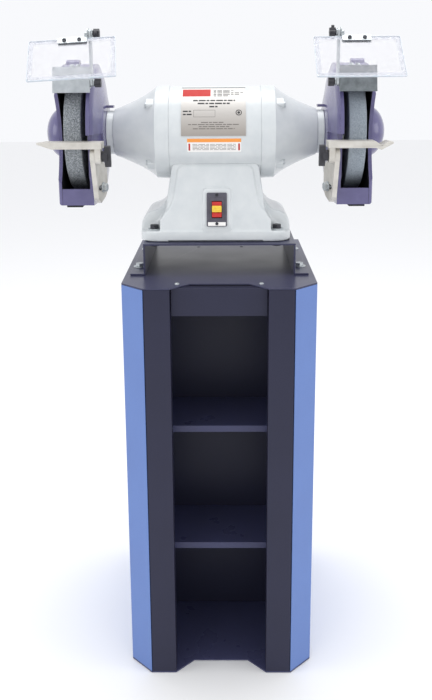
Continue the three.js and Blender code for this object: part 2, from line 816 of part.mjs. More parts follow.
function grindingWheel() {
  return solid(turned([
    [WHEEL_IN, ARBOR_R + GAP],
    [WHEEL_OUT, ARBOR_R + GAP],
    [WHEEL_OUT, WHEEL_R - 0.8],
    [WHEEL_OUT - 0.8, WHEEL_R],
    [WHEEL_IN + 0.8, WHEEL_R],
    [WHEEL_IN, WHEEL_R - 0.8],
  ], BIG));
}

// Dished flange that grips the wheel near its rim.
function wheelFlange(face, away) {
  const back = face + away * (FLANGE_W - 1 - GAP);
  return solid(turned([
    [face + away * 1.5, ARBOR_R + GAP],
    [face + away * 1.5, FLANGE_R - 10],
    [face, FLANGE_R - 9],
    [face, FLANGE_R],
    [face + away * 3, FLANGE_R],
    [back, FLANGE_R - 16],
    [back, ARBOR_R + GAP],
  ], MID));
}

function arborNut() {
  const nut = solid(sweepX(hexagon(NUT_AF), FLANGE_OUT + GAP, FLANGE_OUT + GAP + NUT_W));
  return cut(nut, solid(rod(FLANGE_OUT - 9, ARBOR_END + 9, ARBOR_R + GAP, MID)));
}

// Side outline of the guard: round, with a square lower front corner.
function guardOutline(inset) {
  const radius = GUARD_R - inset;
  const lipY = LIP_Y + inset;
  const meet = Math.asin(Math.sqrt(1 - (lipY / radius) ** 2));
  const shape = new THREE.Shape();
  shape.moveTo(LIP_BOTTOM_Y + inset * 0.2, -radius);
  shape.lineTo(lipY, LIP_CORNER_Z + inset * 0.7);
  shape.absarc(0, 0, radius, Math.PI + meet, -Math.PI / 2, true);
  return shape;
}

// Where the rest arm's lower leg faces the guard, at depth y.
function legPlane(y, away) {
  const start = REST_ARM_IN + REST_ARM_SHEET + away / Math.cos(rad(REST_BEND));
  return start - (y - REST_BEND_Y) * Math.tan(rad(REST_BEND));
}

function restBoss() {
  const front = REST_BOLT_Y - 11;
  const back = REST_BOLT_Y + 14;
  const outline = [
    [legPlane(front, GAP), front],
    [GUARD_IN + 3, front],
    [GUARD_IN + 3, back],
    [legPlane(back, GAP), back],
  ];
  return solid(sweepZ(outline, REST_BOLT_Z - 14, REST_BOLT_Z + 14));
}

// Round tool along the rest bolt, measured from the leg's guard-side face towards the motor.
function alongRestBolt(from, to, radius, segments = SMALL) {
  const geometry = new THREE.CylinderGeometry(radius, radius, to - from, segments);
  geometry.translate(0, (from + to) / 2, 0).rotateZ(Math.PI / 2);
  geometry.rotateZ(rad(REST_BEND));
  return geometry.translate(legPlane(REST_BOLT_Y, 0), REST_BOLT_Y, REST_BOLT_Z);
}

// Cutting tool for the slanted seat that the rest arm's lower leg lies against.
function armSeat() {
  const bend = legPlane(REST_BEND_Y, ARM_CLEAR);
  const outline = [
    [TABLE_IN, -GUARD_R - 20],
    [bend, -GUARD_R - 20],
    [bend, REST_BEND_Y],
    [legPlane(REST_END_Y, ARM_CLEAR), REST_END_Y],
    [TABLE_IN, REST_END_Y],
  ];
  return solid(sweepZ(outline, -106, REST_CLEAR));
}

// Guard body: hub flaring from the motor's collar, inner side wall and the band round the wheel.
function guardBody() {
  const start = COLLAR_END + GAP;
  const hub = solid(turned([
    [start, HUB_BORE],
    [start, 40],
    [start + 1, 52],
    [start + 3, 63],
    [start + 5.5, 75],
    [start + 8, 88],
    [start + 10.4, 100],
    [start + 14, 112],
    [GUARD_IN, 118],
    [GUARD_IN + GUARD_WALL, 118],
    [GUARD_IN + GUARD_WALL, HUB_BORE],
  ], BIG));
  const shell = solid(sweepX(guardOutline(0), GUARD_IN, GUARD_OUT, BIG / 2));
  const cavity = solid(sweepX(guardOutline(GUARD_BAND), GUARD_IN + GUARD_WALL, GUARD_OUT + 9, BIG / 2));
  const tab = solid(box(start - 12, start + 3, -8, 8, 43.5, 49));
  let body = cut(unite(cut(shell, cavity), hub, tab), armSeat());
  body = unite(body, restBoss());
  const padTop = ARRESTOR_TOP[1] - GAP;
  body = unite(body, solid(box(ARRESTOR_PAD[0], ARRESTOR_PAD[1], -84, -54, 92, padTop)));
  body = cut(body, solid(sweepX(guardOutline(GUARD_BAND), GUARD_IN + GUARD_WALL, GUARD_OUT + 9, BIG / 2)));
  const lug = solid(sweepX(disc(0, GUARD_R - 2, 9), 238, 261, 8));
  body = cut(unite(body, lug), cavity);
  const mouth = solid(box(GUARD_IN + GUARD_WALL, GUARD_OUT + 9, -GUARD_R - 20, -55,
    OPENING_LOW, OPENING_HIGH));
  const restSide = solid(box(start, GUARD_OUT + 9, -GUARD_R - 20, TABLE_BACK + TABLE_NOTCH,
    OPENING_LOW, REST_CLEAR));
  const bore = solid(rod(start - 20, GUARD_IN + 20, HUB_BORE, MID));
  const boltHole = solid(alongRestBolt(-12, 9, REST_BOLT_R + GAP));
  return cut(body, mouth, restSide, bore, boltHole);
}

// Outer cover: stepped plate with a hollow dome over the arbor nut, cut away beside the wheel.
function guardCover() {
  const face = GUARD_OUT + GAP;
  const step = COVER_OUT - COVER_EDGE;
  const outer = [];
  const inner = [];
  for (let i = 0; i <= 4; i += 1) {
    const angle = (i / 4) * Math.PI / 2;
    outer.push([step + (DOME_END - step) * Math.sin(angle), DOME_R * Math.cos(angle)]);
    inner.push([face + (DOME_END - DOME_WALL - face) * Math.sin(angle),
      (DOME_R - DOME_WALL) * Math.cos(angle)]);
  }
  inner[inner.length - 1][1] = 0;
  outer[outer.length - 1][1] = 0;
  const bowl = solid(turned([[face - 1, 0], [face - 1, DOME_R - DOME_WALL], ...inner], BIG));
  const dome = solid(turned([[step, 0], ...outer], BIG));
  const back = solid(sweepX(guardOutline(0), face, step, BIG / 2));
  const front = solid(sweepX(guardOutline(COVER_EDGE), face + 1, COVER_OUT, BIG / 2));
  const side = solid(sweepX(disc(CUT_Y, CUT_Z, CUT_R), face - 9, DOME_END + 9, BIG / 2));
  return cut(unite(back, front, dome), bowl, side);
}

// Bent plate over the top of the opening, with an ear for the eye shield's arm.
function sparkArrestor() {
  const line = [ARRESTOR_LOW, ARRESTOR_TOP, [ARRESTOR_BACK, ARRESTOR_TOP[1]]];
  const outline = bentSheet(line, ARRESTOR_SHEET);
  const plate = solid(sweepX(outline, ARRESTOR_IN, ARRESTOR_OUT));
  const [y, z] = LOWER_PIVOT;
  const ear = solid(sweepX(disc(y, z, EAR_R), ARRESTOR_IN, ARRESTOR_IN + EAR_SHEET, SMALL));
  const hole = solid(sweepX(disc(y, z, KNOB_SCREW_R + GAP), ARRESTOR_IN - 9, ARRESTOR_IN + 9, SMALL));
  return cut(unite(plate, ear), hole);
}

// ---- eye shield ---------------------------------------------------------------------------------
function shieldArm() {
  const near = ARRESTOR_IN - SLIP - ARM_SHEET;
  const bar = solid(sweepX(capsule(LOWER_PIVOT, UPPER_PIVOT, ARM_WIDTH / 2), near, near + ARM_SHEET, 6));
  const holes = [LOWER_PIVOT, UPPER_PIVOT].map(([y, z]) => solid(
    sweepX(disc(y, z, KNOB_SCREW_R + GAP), near - 9, near + 9, SMALL)));
  return cut(bar, ...holes);
}

// Round knob with a collar nut and its screw, and a wing across it where one is asked for.
function shieldKnob([y, z], turn, winged) {
  const face = ARRESTOR_IN - SLIP - ARM_SHEET - SLIP;
  const grip = solid(rod(face - KNOB_NECK - KNOB_L, face - KNOB_NECK, KNOB_R, 18));
  const nut = solid(sweepX(hexagon(9), face - 4, face));
  const screw = solid(rod(face - 4, ARRESTOR_IN + EAR_SHEET + 5, KNOB_SCREW_R, 10));
  const wing = solid(box(face - 10, face - 5, -WING_SHEET / 2, WING_SHEET / 2, -WING_HALF, WING_HALF));
  const round = unite(grip, nut, screw);
  const knob = winged ? unite(round, wing) : round;
  const matrix = new THREE.Matrix4().makeRotationX(rad(turn)).setPosition(0, y, z);
  return knob.transform(matrix.elements);
}

// Places flat work drawn in x (across) and z (up the lens) onto the tilted lens.
function onLens(geometry, skew) {
  const tilt = -rad(LENS_TILT);
  const hang = new THREE.Matrix4().makeRotationY(rad(skew));
  const lean = new THREE.Matrix4().makeRotationX(tilt).setPosition(CLAMP_FROM, LENS_TOP[0], LENS_TOP[1]);
  return geometry.clone().translate(-CLAMP_FROM, 0, 0).applyMatrix4(lean.multiply(hang));
}

function shieldLens(skew) {
  const outline = [
    [LENS_X - LENS_W / 2, -LENS_H],
    [LENS_X + LENS_W / 2, -LENS_H],
    [LENS_X + LENS_W / 2, 0],
    [LENS_X - LENS_W / 2, 0],
  ];
  return solid(onLens(sweepY(outline, -LENS_SHEET / 2, LENS_SHEET / 2), skew));
}

// Channel gripping the lens's upper edge, with an ear beside the arm.
function shieldClamp(skew) {
  const reach = LENS_SHEET / 2 + GAP;
  const channel = [
    [-reach - CLAMP_SHEET, -CLAMP_REACH],
    [-reach, -CLAMP_REACH],
    [-reach, GAP],
    [reach, GAP],
    [reach, -CLAMP_REACH],
    [reach + CLAMP_SHEET, -CLAMP_REACH],
    [reach + CLAMP_SHEET, GAP + CLAMP_SHEET],
    [-reach - CLAMP_SHEET, GAP + CLAMP_SHEET],
  ];
  const bar = solid(onLens(sweepX(channel, CLAMP_FROM, CLAMP_TO), skew));
  const [y, z] = UPPER_PIVOT;
  const ear = solid(sweepX(disc(y, z, EAR_R), ARRESTOR_IN, ARRESTOR_IN + EAR_SHEET, SMALL));
  const tongue = solid(box(ARRESTOR_IN, CLAMP_FROM + 4, LENS_TOP[0] - 2, LENS_TOP[0] + 12,
    LENS_TOP[1] + 2, LENS_TOP[1] + 6));
  const hole = solid(sweepX(disc(y, z, KNOB_SCREW_R + GAP), ARRESTOR_IN - 9, ARRESTOR_IN + 9, SMALL));
  const body = unite(bar, ear, tongue);
  return cut(body, hole, solid(onLens(box(CLAMP_FROM - 30, CLAMP_TO + 9, -reach, reach, -40, GAP), skew)));
}

// ---- tool rest ----------------------------------------------------------------------------------
function tableOutline(grooved) {
  const low = TABLE_TOP - TABLE_THICK;
  if (!grooved) {
    return [
      [TABLE_IN, low],
      [TABLE_OUT - 24, low],
      [TABLE_OUT, TABLE_TOP - 3],
      [TABLE_OUT, TABLE_TOP],
      [TABLE_IN, TABLE_TOP],
    ];
  }
  return [
    [TABLE_IN, low],
    [GROOVE_X - 10, low],
    [GROOVE_X, low - 3],
    [TABLE_OUT - 6, TABLE_TOP - 7],
    [TABLE_OUT, TABLE_TOP - 4],
    [TABLE_OUT, TABLE_TOP - 1],
    [TABLE_OUT - 7, TABLE_TOP],
    [GROOVE_X, TABLE_TOP - GROOVE_DEPTH],
    [GROOVE_X - 10, TABLE_TOP],
    [TABLE_IN, TABLE_TOP],
  ];
}

// Table of the rest with a lug under its inner end for the clamping knob.
function restTable(grooved) {
  const plate = solid(sweepY(tableOutline(grooved), TABLE_FRONT, TABLE_BACK));
  const [y, z] = REST_PIVOT;
  const lugRadius = TABLE_TOP - TABLE_THICK - z;
  const lugEnd = REST_ARM_IN - GAP;
  const eye = solid(sweepX(disc(y, z, lugRadius), REST_LUG_IN, lugEnd, 12));
  const stem = solid(box(REST_LUG_IN, lugEnd, y - lugRadius, y + lugRadius, z, TABLE_TOP - 2));
  const tip = solid(sweepZ([
    [TABLE_OUT + 1, TABLE_BACK + 1],
    [TABLE_OUT - 9, TABLE_BACK + 1],
    [TABLE_OUT + 1, TABLE_FRONT + 3],
  ], TABLE_TOP - 40, TABLE_TOP + 5));
  const hole = solid(sweepX(disc(y, z, KNOB_SCREW_R + 1 + GAP), REST_LUG_IN - 9, lugEnd + 9, SMALL));
  return cut(unite(plate, eye, stem), tip, hole);
}

// Arm of the rest: straight beside the wheel, its slotted lower leg turned towards the motor.
function restArm() {
  const [y, z] = REST_PIVOT;
  const plan = bentSheet([
    [legPlane(REST_END_Y, 0), REST_END_Y],
    [REST_ARM_IN + REST_ARM_SHEET, REST_BEND_Y],
    [REST_ARM_IN + REST_ARM_SHEET, TABLE_FRONT - 9],
  ].reverse(), REST_ARM_SHEET);
  const strip = solid(sweepZ(plan, -130, -10));
  const side = unite(
    solid(sweepX(disc(y, z, 12), 160, 230, 12)),
    solid(sweepX([
      [y - 12, z],
      [-104, -104],
      [-90, -114],
      [-70, -106],
      [REST_END_Y, -94],
      [REST_END_Y, -56],
      [-90, -35],
      [-108, -27],
      [y + 8, z + 8.5],
    ], 160, 230)),
  );
  const slots = REST_SLOT.map((s) => {
    const shift = new THREE.Vector3(-Math.sin(rad(REST_BEND)), Math.cos(rad(REST_BEND)), 0);
    return alongRestBolt(-9, REST_ARM_SHEET + 9, REST_BOLT_R + 0.5)
      .translate(shift.x * s, shift.y * s, 0);
  });
  const slot = solid(slots[0]).add(solid(slots[1])).hull();
  const hole = solid(sweepX(disc(y, z, KNOB_SCREW_R + 1 + GAP), 190, 215, SMALL));
  return cut(strip.intersect(side), slot, hole);
}

function restBolt() {
  const shank = solid(alongRestBolt(-11, REST_ARM_SHEET + 3, REST_BOLT_R));
  const washer = solid(alongRestBolt(REST_ARM_SHEET + GAP, REST_ARM_SHEET + 2, 9));
  const head = solid(alongRestBolt(REST_ARM_SHEET + 1.5, REST_ARM_SHEET + 8, 7.5, 6));
  return unite(shank, washer, head);
}

// Wing knob clamping the table to the arm.
function restKnob() {
  const [y, z] = REST_PIVOT;
  const face = REST_LUG_IN - SLIP;
  const boss = solid(rod(face - 10, face, 9, 16));
  const stem = solid(rod(face - 13, face - 8, 6, 16));
  const wing = solid(sweepX(capsule([-2, 13], [2, -13], 5), face - 15, face - 5, 5));
  const screw = solid(rod(face - 3, REST_ARM_IN + REST_ARM_SHEET - 1, KNOB_SCREW_R + 1, 10));
  const knob = unite(boss, stem, wing, screw);
  return knob.translate([0, y, z]);
}

// ---- assembly -----------------------------------------------------------------------------------
function buildSide(side, sign) {
  const group = new THREE.Group();
  group.name = `grinder_${side}`;
  group.scale.x = sign;
  const right = side === 'right';
  const skew = right ? 0 : LEFT_SKEW;
  add(group, `end_bell_${side}`, endBell(), CAST);
  add(group, `bearing_${side}`, bearing(), ZINC);
  add(group, `guard_body_${side}`, guardBody(), PURPLE);
  add(group, `guard_cover_${side}`, guardCover(), PURPLE);
  add(group, `grinding_wheel_${side}`, grindingWheel(), 0x838a92);
  add(group, `inner_flange_${side}`, wheelFlange(WHEEL_IN - GAP, -1), ZINC);
  add(group, `outer_flange_${side}`, wheelFlange(WHEEL_OUT + GAP, 1), ZINC);
  add(group, `arbor_nut_${side}`, arborNut(), ZINC);
  add(group, `spark_arrestor_${side}`, sparkArrestor(), ZINC);
  add(group, `shield_arm_${side}`, shieldArm(), ZINC);
  add(group, `shield_clamp_${side}`, shieldClamp(skew), ZINC);
  add(group, `shield_lens_${side}`, shieldLens(skew), 0xe8ecf2);
  add(group, `shield_upper_knob_${side}`, shieldKnob(UPPER_PIVOT, right ? 0 : 90, true), BLACK);
  add(group, `shield_lower_knob_${side}`, shieldKnob(LOWER_PIVOT, 25, false), BLACK);
  add(group, `rest_table_${side}`, restTable(right), 0xc8c5be);
  add(group, `rest_arm_${side}`, restArm(), 0xc8c5be);
  add(group, `rest_bolt_${side}`, restBolt(), ZINC);
  add(group, `rest_knob_${side}`, restKnob(), BLACK);
  return group;
}

function buildGrinder() {
  const grinder = new THREE.Group();
  grinder.name = 'grinder';
  grinder.position.set(GRINDER_X, SHAFT_Y, SHAFT_Z);
  add(grinder, 'base_casting', baseCasting(), CAST);
  add(grinder, 'base_cover', baseCover(), ZINC);
  add(grinder, 'start_capacitor', startCapacitor(), BLACK);
  add(grinder, 'cable_gland', cableGland(), BLACK);
  add(grinder, 'switch_plate', tilted(switchPlate()), 0x5c5a66);
  add(grinder, 'switch_paddle', tilted(switchPaddle()), 0xc8322c);
  add(grinder, 'switch_key', tilted(switchKey()), 0xe8c63a);
  add(grinder, 'motor_housing', motorHousing(), CAST);
  add(grinder, 'stator', stator(), 0x8a6a4a);
  add(grinder, 'rotor_shaft', rotorShaft(), ZINC);
  add(grinder, 'nameplate', nameplate(), 0xb9b4ae);
  grinder.add(buildSide('right', 1));
  grinder.add(buildSide('left', -1));
  return grinder;
}

root.add(buildStand());
root.add(buildGrinder());

export default root;
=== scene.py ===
"""Double-ended bench grinder on a hat-section riser and a sheet-steel cabinet stand.

The frame is the working model. The folded sheet metal of the stand keeps its own meshes with rounded
folds; castings, guards, wheels, rests, shields and knobs are remade here as smooth pieces.
Metres, +Z up, front towards -Y. Grinder pieces are drawn in millimetres about the middle of the
shaft, for the right-hand end, and mirrored for the left-hand end.
"""
import math

import bmesh
import bpy
from mathutils import Matrix, Vector


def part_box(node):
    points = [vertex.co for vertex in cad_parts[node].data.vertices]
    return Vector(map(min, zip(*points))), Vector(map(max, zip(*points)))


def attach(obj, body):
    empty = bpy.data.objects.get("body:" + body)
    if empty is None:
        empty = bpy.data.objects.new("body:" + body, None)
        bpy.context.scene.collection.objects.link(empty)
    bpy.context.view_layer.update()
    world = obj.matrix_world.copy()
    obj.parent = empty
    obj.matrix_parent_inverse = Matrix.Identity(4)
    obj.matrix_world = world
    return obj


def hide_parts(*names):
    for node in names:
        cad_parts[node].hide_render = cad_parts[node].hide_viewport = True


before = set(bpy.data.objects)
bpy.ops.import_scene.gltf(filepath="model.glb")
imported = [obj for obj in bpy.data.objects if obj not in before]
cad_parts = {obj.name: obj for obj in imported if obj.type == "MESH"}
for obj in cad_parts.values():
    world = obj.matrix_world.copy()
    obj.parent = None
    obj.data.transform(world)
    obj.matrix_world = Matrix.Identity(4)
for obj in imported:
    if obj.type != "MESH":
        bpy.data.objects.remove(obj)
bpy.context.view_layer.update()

MM = 0.001
SIDES = {"right": 1, "left": -1}


def middle(node):
    """Middle of a frame node's box, in metres."""
    low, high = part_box(node)
    return (Vector(low) + Vector(high)) / 2


SHAFT = middle("rotor_shaft")
PLATE_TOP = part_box("stand_top_plate")[1][2]

# ---- materials --------------------------------------------------------------------------------


def linear(colour):
    """Linear RGBA of an sRGB hex colour."""
    channels = [int(colour[i:i + 2], 16) / 255 for i in (0, 2, 4)]
    return [c / 12.92 if c <= 0.04045 else ((c + 0.055) / 1.055) ** 2.4 for c in channels] + [1.0]


def add(tree, kind, links=None, stops=(), **settings):
    """A node of a kind, with its settings, and its sockets set or linked by name or number.

    stops are a ramp's positions and hex colours, its two own ones first.
    """
    made = tree.nodes.new(kind)
    for name, value in settings.items():
        setattr(made, name, value)
    for number, (position, colour) in enumerate(stops):
        elements = made.color_ramp.elements
        element = elements[number] if number < 2 else elements.new(position)
        element.position = position
        element.color = linear(colour)
    for name, value in (links or {}).items():
        if isinstance(value, bpy.types.NodeSocket):
            tree.links.new(value, made.inputs[name])
        else:
            made.inputs[name].default_value = value
    return made


def new_finish(name, **sockets):
    """A material with its shader, its node tree and the object's own coordinates in metres."""
    material = bpy.data.materials.new(name)
    material.use_nodes = True
    tree = material.node_tree
    shader = tree.nodes["Principled BSDF"]
    for socket, value in sockets.items():
        shader.inputs[socket.replace("_", " ")].default_value = value
    place = tree.nodes.new("ShaderNodeTexCoord").outputs["Object"]
    return material, tree, shader, place


def per_mm(size):
    """Texture scale that makes a pattern's features this many millimetres wide."""
    return 1 / (size * MM)


def powder_coat(name, base, shade, rough):
    """Polyester powder coat, sprayed and baked: a fine even pebble and a soft satin glow."""
    material, tree, shader, place = new_finish(name, IOR=1.5, Specular_IOR_Level=0.28)
    # pebble of 1.6 mm, coarser than the real 0.3 mm so that it shows
    pebble = add(tree, "ShaderNodeTexNoise", {"Vector": place, "Scale": per_mm(1.6), "Detail": 2.0})
    cloud = add(tree, "ShaderNodeTexNoise", {"Vector": place, "Scale": per_mm(90), "Detail": 4.0})
    mixed = add(tree, "ShaderNodeMath", {0: cloud.outputs["Fac"], 1: pebble.outputs["Fac"]}, operation="ADD")
    halved = add(tree, "ShaderNodeMath", {0: mixed.outputs[0], 1: 0.5}, operation="MULTIPLY")
    ramp = add(tree, "ShaderNodeValToRGB", {"Fac": halved.outputs[0]},
               stops=((0.3, shade), (0.7, base)))
    tree.links.new(ramp.outputs["Color"], shader.inputs["Base Color"])
    gloss = add(tree, "ShaderNodeMapRange", {"Value": cloud.outputs["Fac"], "To Min": rough - 0.07,
                                             "To Max": rough + 0.09})
    tree.links.new(gloss.outputs[0], shader.inputs["Roughness"])
    bump = add(tree, "ShaderNodeBump", {"Height": pebble.outputs["Fac"], "Strength": 0.6,
                                        "Distance": 0.12 * MM})
    tree.links.new(bump.outputs["Normal"], shader.inputs["Normal"])
    return material


def cast_enamel(name, base, shade, rough):
    """Enamel sprayed over sand-cast iron: glossy, with the casting's slow waviness under it."""
    material, tree, shader, place = new_finish(name, IOR=1.5, Coat_Weight=0.35, Coat_Roughness=0.12)
    peel = add(tree, "ShaderNodeTexNoise", {"Vector": place, "Scale": per_mm(3.2), "Detail": 2.0})
    waves = add(tree, "ShaderNodeTexNoise", {"Vector": place, "Scale": per_mm(24), "Detail": 3.0})
    ramp = add(tree, "ShaderNodeValToRGB", {"Fac": waves.outputs["Fac"]},
               stops=((0.3, shade), (0.7, base)))
    tree.links.new(ramp.outputs["Color"], shader.inputs["Base Color"])
    gloss = add(tree, "ShaderNodeMapRange", {"Value": peel.outputs["Fac"], "To Min": rough - 0.06,
                                             "To Max": rough + 0.08})
    tree.links.new(gloss.outputs[0], shader.inputs["Roughness"])
    both = add(tree, "ShaderNodeMath", {0: peel.outputs["Fac"], 1: waves.outputs["Fac"]}, operation="ADD")
    bump = add(tree, "ShaderNodeBump", {"Height": both.outputs[0], "Strength": 0.35, "Distance": 0.12 * MM})
    tree.links.new(bump.outputs["Normal"], shader.inputs["Normal"])
    return material


def bonded_abrasive(name, dark, middle_tone, light, grit):
    """Fired aluminium-oxide wheel: sharp grains in a matt bond, each grain its own grey."""
    material, tree, shader, place = new_finish(name, Roughness=0.92, IOR=1.6)
    grains = add(tree, "ShaderNodeTexVoronoi", {"Vector": place, "Scale": per_mm(grit)})
    clumps = add(tree, "ShaderNodeTexNoise", {"Vector": place, "Scale": per_mm(grit * 2.5), "Detail": 5.0})
    grey = add(tree, "ShaderNodeSeparateColor", {"Color": grains.outputs["Color"]})
    ramp = add(tree, "ShaderNodeValToRGB", {"Fac": grey.outputs[0]},
               stops=((0.0, dark), (1.0, light), (0.5, middle_tone)))
    pores = add(tree, "ShaderNodeMapRange", {"Value": clumps.outputs["Fac"], "From Min": 0.3, "From Max": 0.6,
                                             "To Min": 0.72, "To Max": 1.0})
    shaded = add(tree, "ShaderNodeHueSaturation", {"Color": ramp.outputs["Color"], "Value": pores.outputs[0]})
    tree.links.new(shaded.outputs["Color"], shader.inputs["Base Color"])
    bump = add(tree, "ShaderNodeBump", {"Height": grains.outputs["Distance"], "Strength": 0.8,
                                        "Distance": grit * 0.5 * MM})
    tree.links.new(bump.outputs["Normal"], shader.inputs["Normal"])
    return material


def plated_steel(name, base, shade, rough, streak=1.0):
    """Zinc-plated or ground steel: cool grey metal with fine drawn streaks and cloudy patches."""
    material, tree, shader, place = new_finish(name, Metallic=0.85)
    stretch = add(tree, "ShaderNodeMapping", {"Vector": place, "Scale": (1.0, 1.0, 0.12)})
    streaks = add(tree, "ShaderNodeTexNoise", {"Vector": stretch.outputs[0], "Scale": per_mm(streak),
                                               "Detail": 4.0})
    cloud = add(tree, "ShaderNodeTexNoise", {"Vector": place, "Scale": per_mm(11), "Detail": 5.0})
    ramp = add(tree, "ShaderNodeValToRGB", {"Fac": cloud.outputs["Fac"]},
               stops=((0.3, shade), (0.7, base)))
    tree.links.new(ramp.outputs["Color"], shader.inputs["Base Color"])
    gloss = add(tree, "ShaderNodeMapRange", {"Value": streaks.outputs["Fac"], "To Min": rough - 0.1,
                                             "To Max": rough + 0.14})
    tree.links.new(gloss.outputs[0], shader.inputs["Roughness"])
    bump = add(tree, "ShaderNodeBump", {"Height": streaks.outputs["Fac"], "Strength": 0.5,
                                        "Distance": 0.05 * MM})
    tree.links.new(bump.outputs["Normal"], shader.inputs["Normal"])
    return material


def cast_metal(name, base, shade):
    """Aluminium cast in sand and linished: soft warm grey with grainy skin and rubbed high spots."""
    material, tree, shader, place = new_finish(name, Metallic=0.45, Roughness=0.55)
    skin = add(tree, "ShaderNodeTexNoise", {"Vector": place, "Scale": per_mm(1.2), "Detail": 4.0})
    patches = add(tree, "ShaderNodeTexNoise", {"Vector": place, "Scale": per_mm(18), "Detail": 3.0})
    ramp = add(tree, "ShaderNodeValToRGB", {"Fac": patches.outputs["Fac"]},
               stops=((0.3, shade), (0.7, base)))
    tree.links.new(ramp.outputs["Color"], shader.inputs["Base Color"])
    gloss = add(tree, "ShaderNodeMapRange", {"Value": skin.outputs["Fac"], "To Min": 0.42, "To Max": 0.68})
    tree.links.new(gloss.outputs[0], shader.inputs["Roughness"])
    bump = add(tree, "ShaderNodeBump", {"Height": skin.outputs["Fac"], "Strength": 0.5,
                                        "Distance": 0.12 * MM})
    tree.links.new(bump.outputs["Normal"], shader.inputs["Normal"])
    return material


def moulded(name, base, shade, rough, grain=0.8):
    """Injection-moulded plastic: even colour, fine spark-eroded grain, slight bloom."""
    material, tree, shader, place = new_finish(name, IOR=1.49)
    skin = add(tree, "ShaderNodeTexNoise", {"Vector": place, "Scale": per_mm(grain), "Detail": 2.0})
    bloom = add(tree, "ShaderNodeTexNoise", {"Vector": place, "Scale": per_mm(9), "Detail": 2.0})
    ramp = add(tree, "ShaderNodeValToRGB", {"Fac": bloom.outputs["Fac"]},
               stops=((0.3, shade), (0.7, base)))
    tree.links.new(ramp.outputs["Color"], shader.inputs["Base Color"])
    gloss = add(tree, "ShaderNodeMapRange", {"Value": bloom.outputs["Fac"], "To Min": rough - 0.06,
                                             "To Max": rough + 0.08})
    tree.links.new(gloss.outputs[0], shader.inputs["Roughness"])
    bump = add(tree, "ShaderNodeBump", {"Height": skin.outputs["Fac"], "Strength": 0.4,
                                        "Distance": 0.05 * MM})
    tree.links.new(bump.outputs["Normal"], shader.inputs["Normal"])
    return material


def clear_sheet(name, tint, alpha):
    """Polycarbonate sheet: see-through with a milky cast and a few fine scuffs that catch light."""
    material, tree, shader, place = new_finish(name, IOR=1.58, Alpha=alpha)
    scuffs = add(tree, "ShaderNodeTexNoise", {"Vector": place, "Scale": per_mm(6), "Detail": 8.0})
    ramp = add(tree, "ShaderNodeValToRGB", {"Fac": scuffs.outputs["Fac"]},
               stops=((0.3, tint), (0.7, "d9dbe2")))
    tree.links.new(ramp.outputs["Color"], shader.inputs["Base Color"])
    gloss = add(tree, "ShaderNodeMapRange", {"Value": scuffs.outputs["Fac"], "To Min": 0.06, "To Max": 0.2})
    tree.links.new(gloss.outputs[0], shader.inputs["Roughness"])
    return material


LIGHT_BLUE = powder_coat("powder_coat_light_blue", "6883bd", "627bb4", 0.45)
NAVY = powder_coat("powder_coat_navy", "2c2d42", "27283b", 0.42)
# Navy coat made lighter for the shelves and the bottom plate: painted light for the front light their tops
# catch. The real coat is the same navy as the posts.
NAVY_LIGHTENED_PAINTED_LIGHT = powder_coat("powder_coat_navy_shelf_painted_light", "4a4c6c", "424462", 0.28)
PLATE_NAVY = powder_coat("powder_coat_navy_top", "42435c", "3a3b52", 0.3)
WHITE_ENAMEL = cast_enamel("enamel_on_iron_pale_grey", "d5d9da", "ccd1d3", 0.3)
PURPLE_ENAMEL = cast_enamel("enamel_on_iron_violet_grey", "625e86", "56527a", 0.2)
# Near-black put on the faces inside the guard's wheel cavity and inside the cover: painted shade for the unlit
# cavity.
CAVITY_PAINTED_SHADE = cast_enamel("painted_shade_inside_guard", "17171a", "101013", 0.55)
COARSE_GRIT = bonded_abrasive("aluminium_oxide_wheel_coarse", "666b70", "8f959a", "bcc1c5", 1.1)
FINE_GRIT = bonded_abrasive("aluminium_oxide_wheel_fine", "8d97a1", "9aa4ae", "a9b2bb", 0.8)
ZINC = plated_steel("zinc_plated_sheet", "c6cbcd", "b0b6b9", 0.38)
# Darker copy of the zinc, used on the right-hand spark arrestor only: painted shade.
ZINC_PAINTED_SHADE = plated_steel("zinc_plated_sheet_painted_shade", "8d9396", "6f7578", 0.45)
GROUND = plated_steel("ground_steel", "c8c8c6", "b0b0ae", 0.25)
DARK_STEEL = plated_steel("oxide_blackened_steel", "4a4b50", "36373c", 0.4)
RUBBED_CAST = cast_metal("sand_cast_aluminium", "d6d3cc", "c3bfb7")
BLACK_PLASTIC = moulded("phenolic_black", "34343a", "2a2a2f", 0.42)
DARK_PLASTIC = moulded("abs_charcoal", "56545f", "4b4954", 0.4)
RED_PLASTIC = moulded("abs_red", "d2332c", "c02a26", 0.3)
YELLOW_PLASTIC = moulded("abs_yellow", "f0cf4a", "e6bf35", 0.32)
RUBBER = moulded("neoprene_black", "26262a", "1e1e21", 0.7)
VARNISH = moulded("varnished_copper_windings", "8a4a26", "6e3a1e", 0.35)
CLEAR = clear_sheet("polycarbonate_clear", "a9a5b0", 0.16)
# More opaque, bluer band just inside the lens edge: painted reflection of the sheet's edges.
CLEAR_PAINTED_REFLECTION_BAND = clear_sheet("polycarbonate_painted_reflection_band", "a7abba", 0.34)
# Pale, nearly opaque coat on the lens border: painted highlight of the lit thick edge.
CLEAR_EDGE_PAINTED_HIGHLIGHT = clear_sheet("polycarbonate_edge_painted_highlight", "c4d2dc", 0.85)

# ---- camera, floor and light ------------------------------------------------------------------
CAMERA_AT = Vector((10.0, -1524.1, 1057.6)) * MM
CAMERA_PITCH = math.radians(12.69)
CAMERA_YAW = math.radians(-0.64)
CAMERA_ROLL = math.radians(-0.35)
CAMERA_LENS = 43.17  # mm on a 36 mm sensor
CAMERA_SHIFT = -0.1254


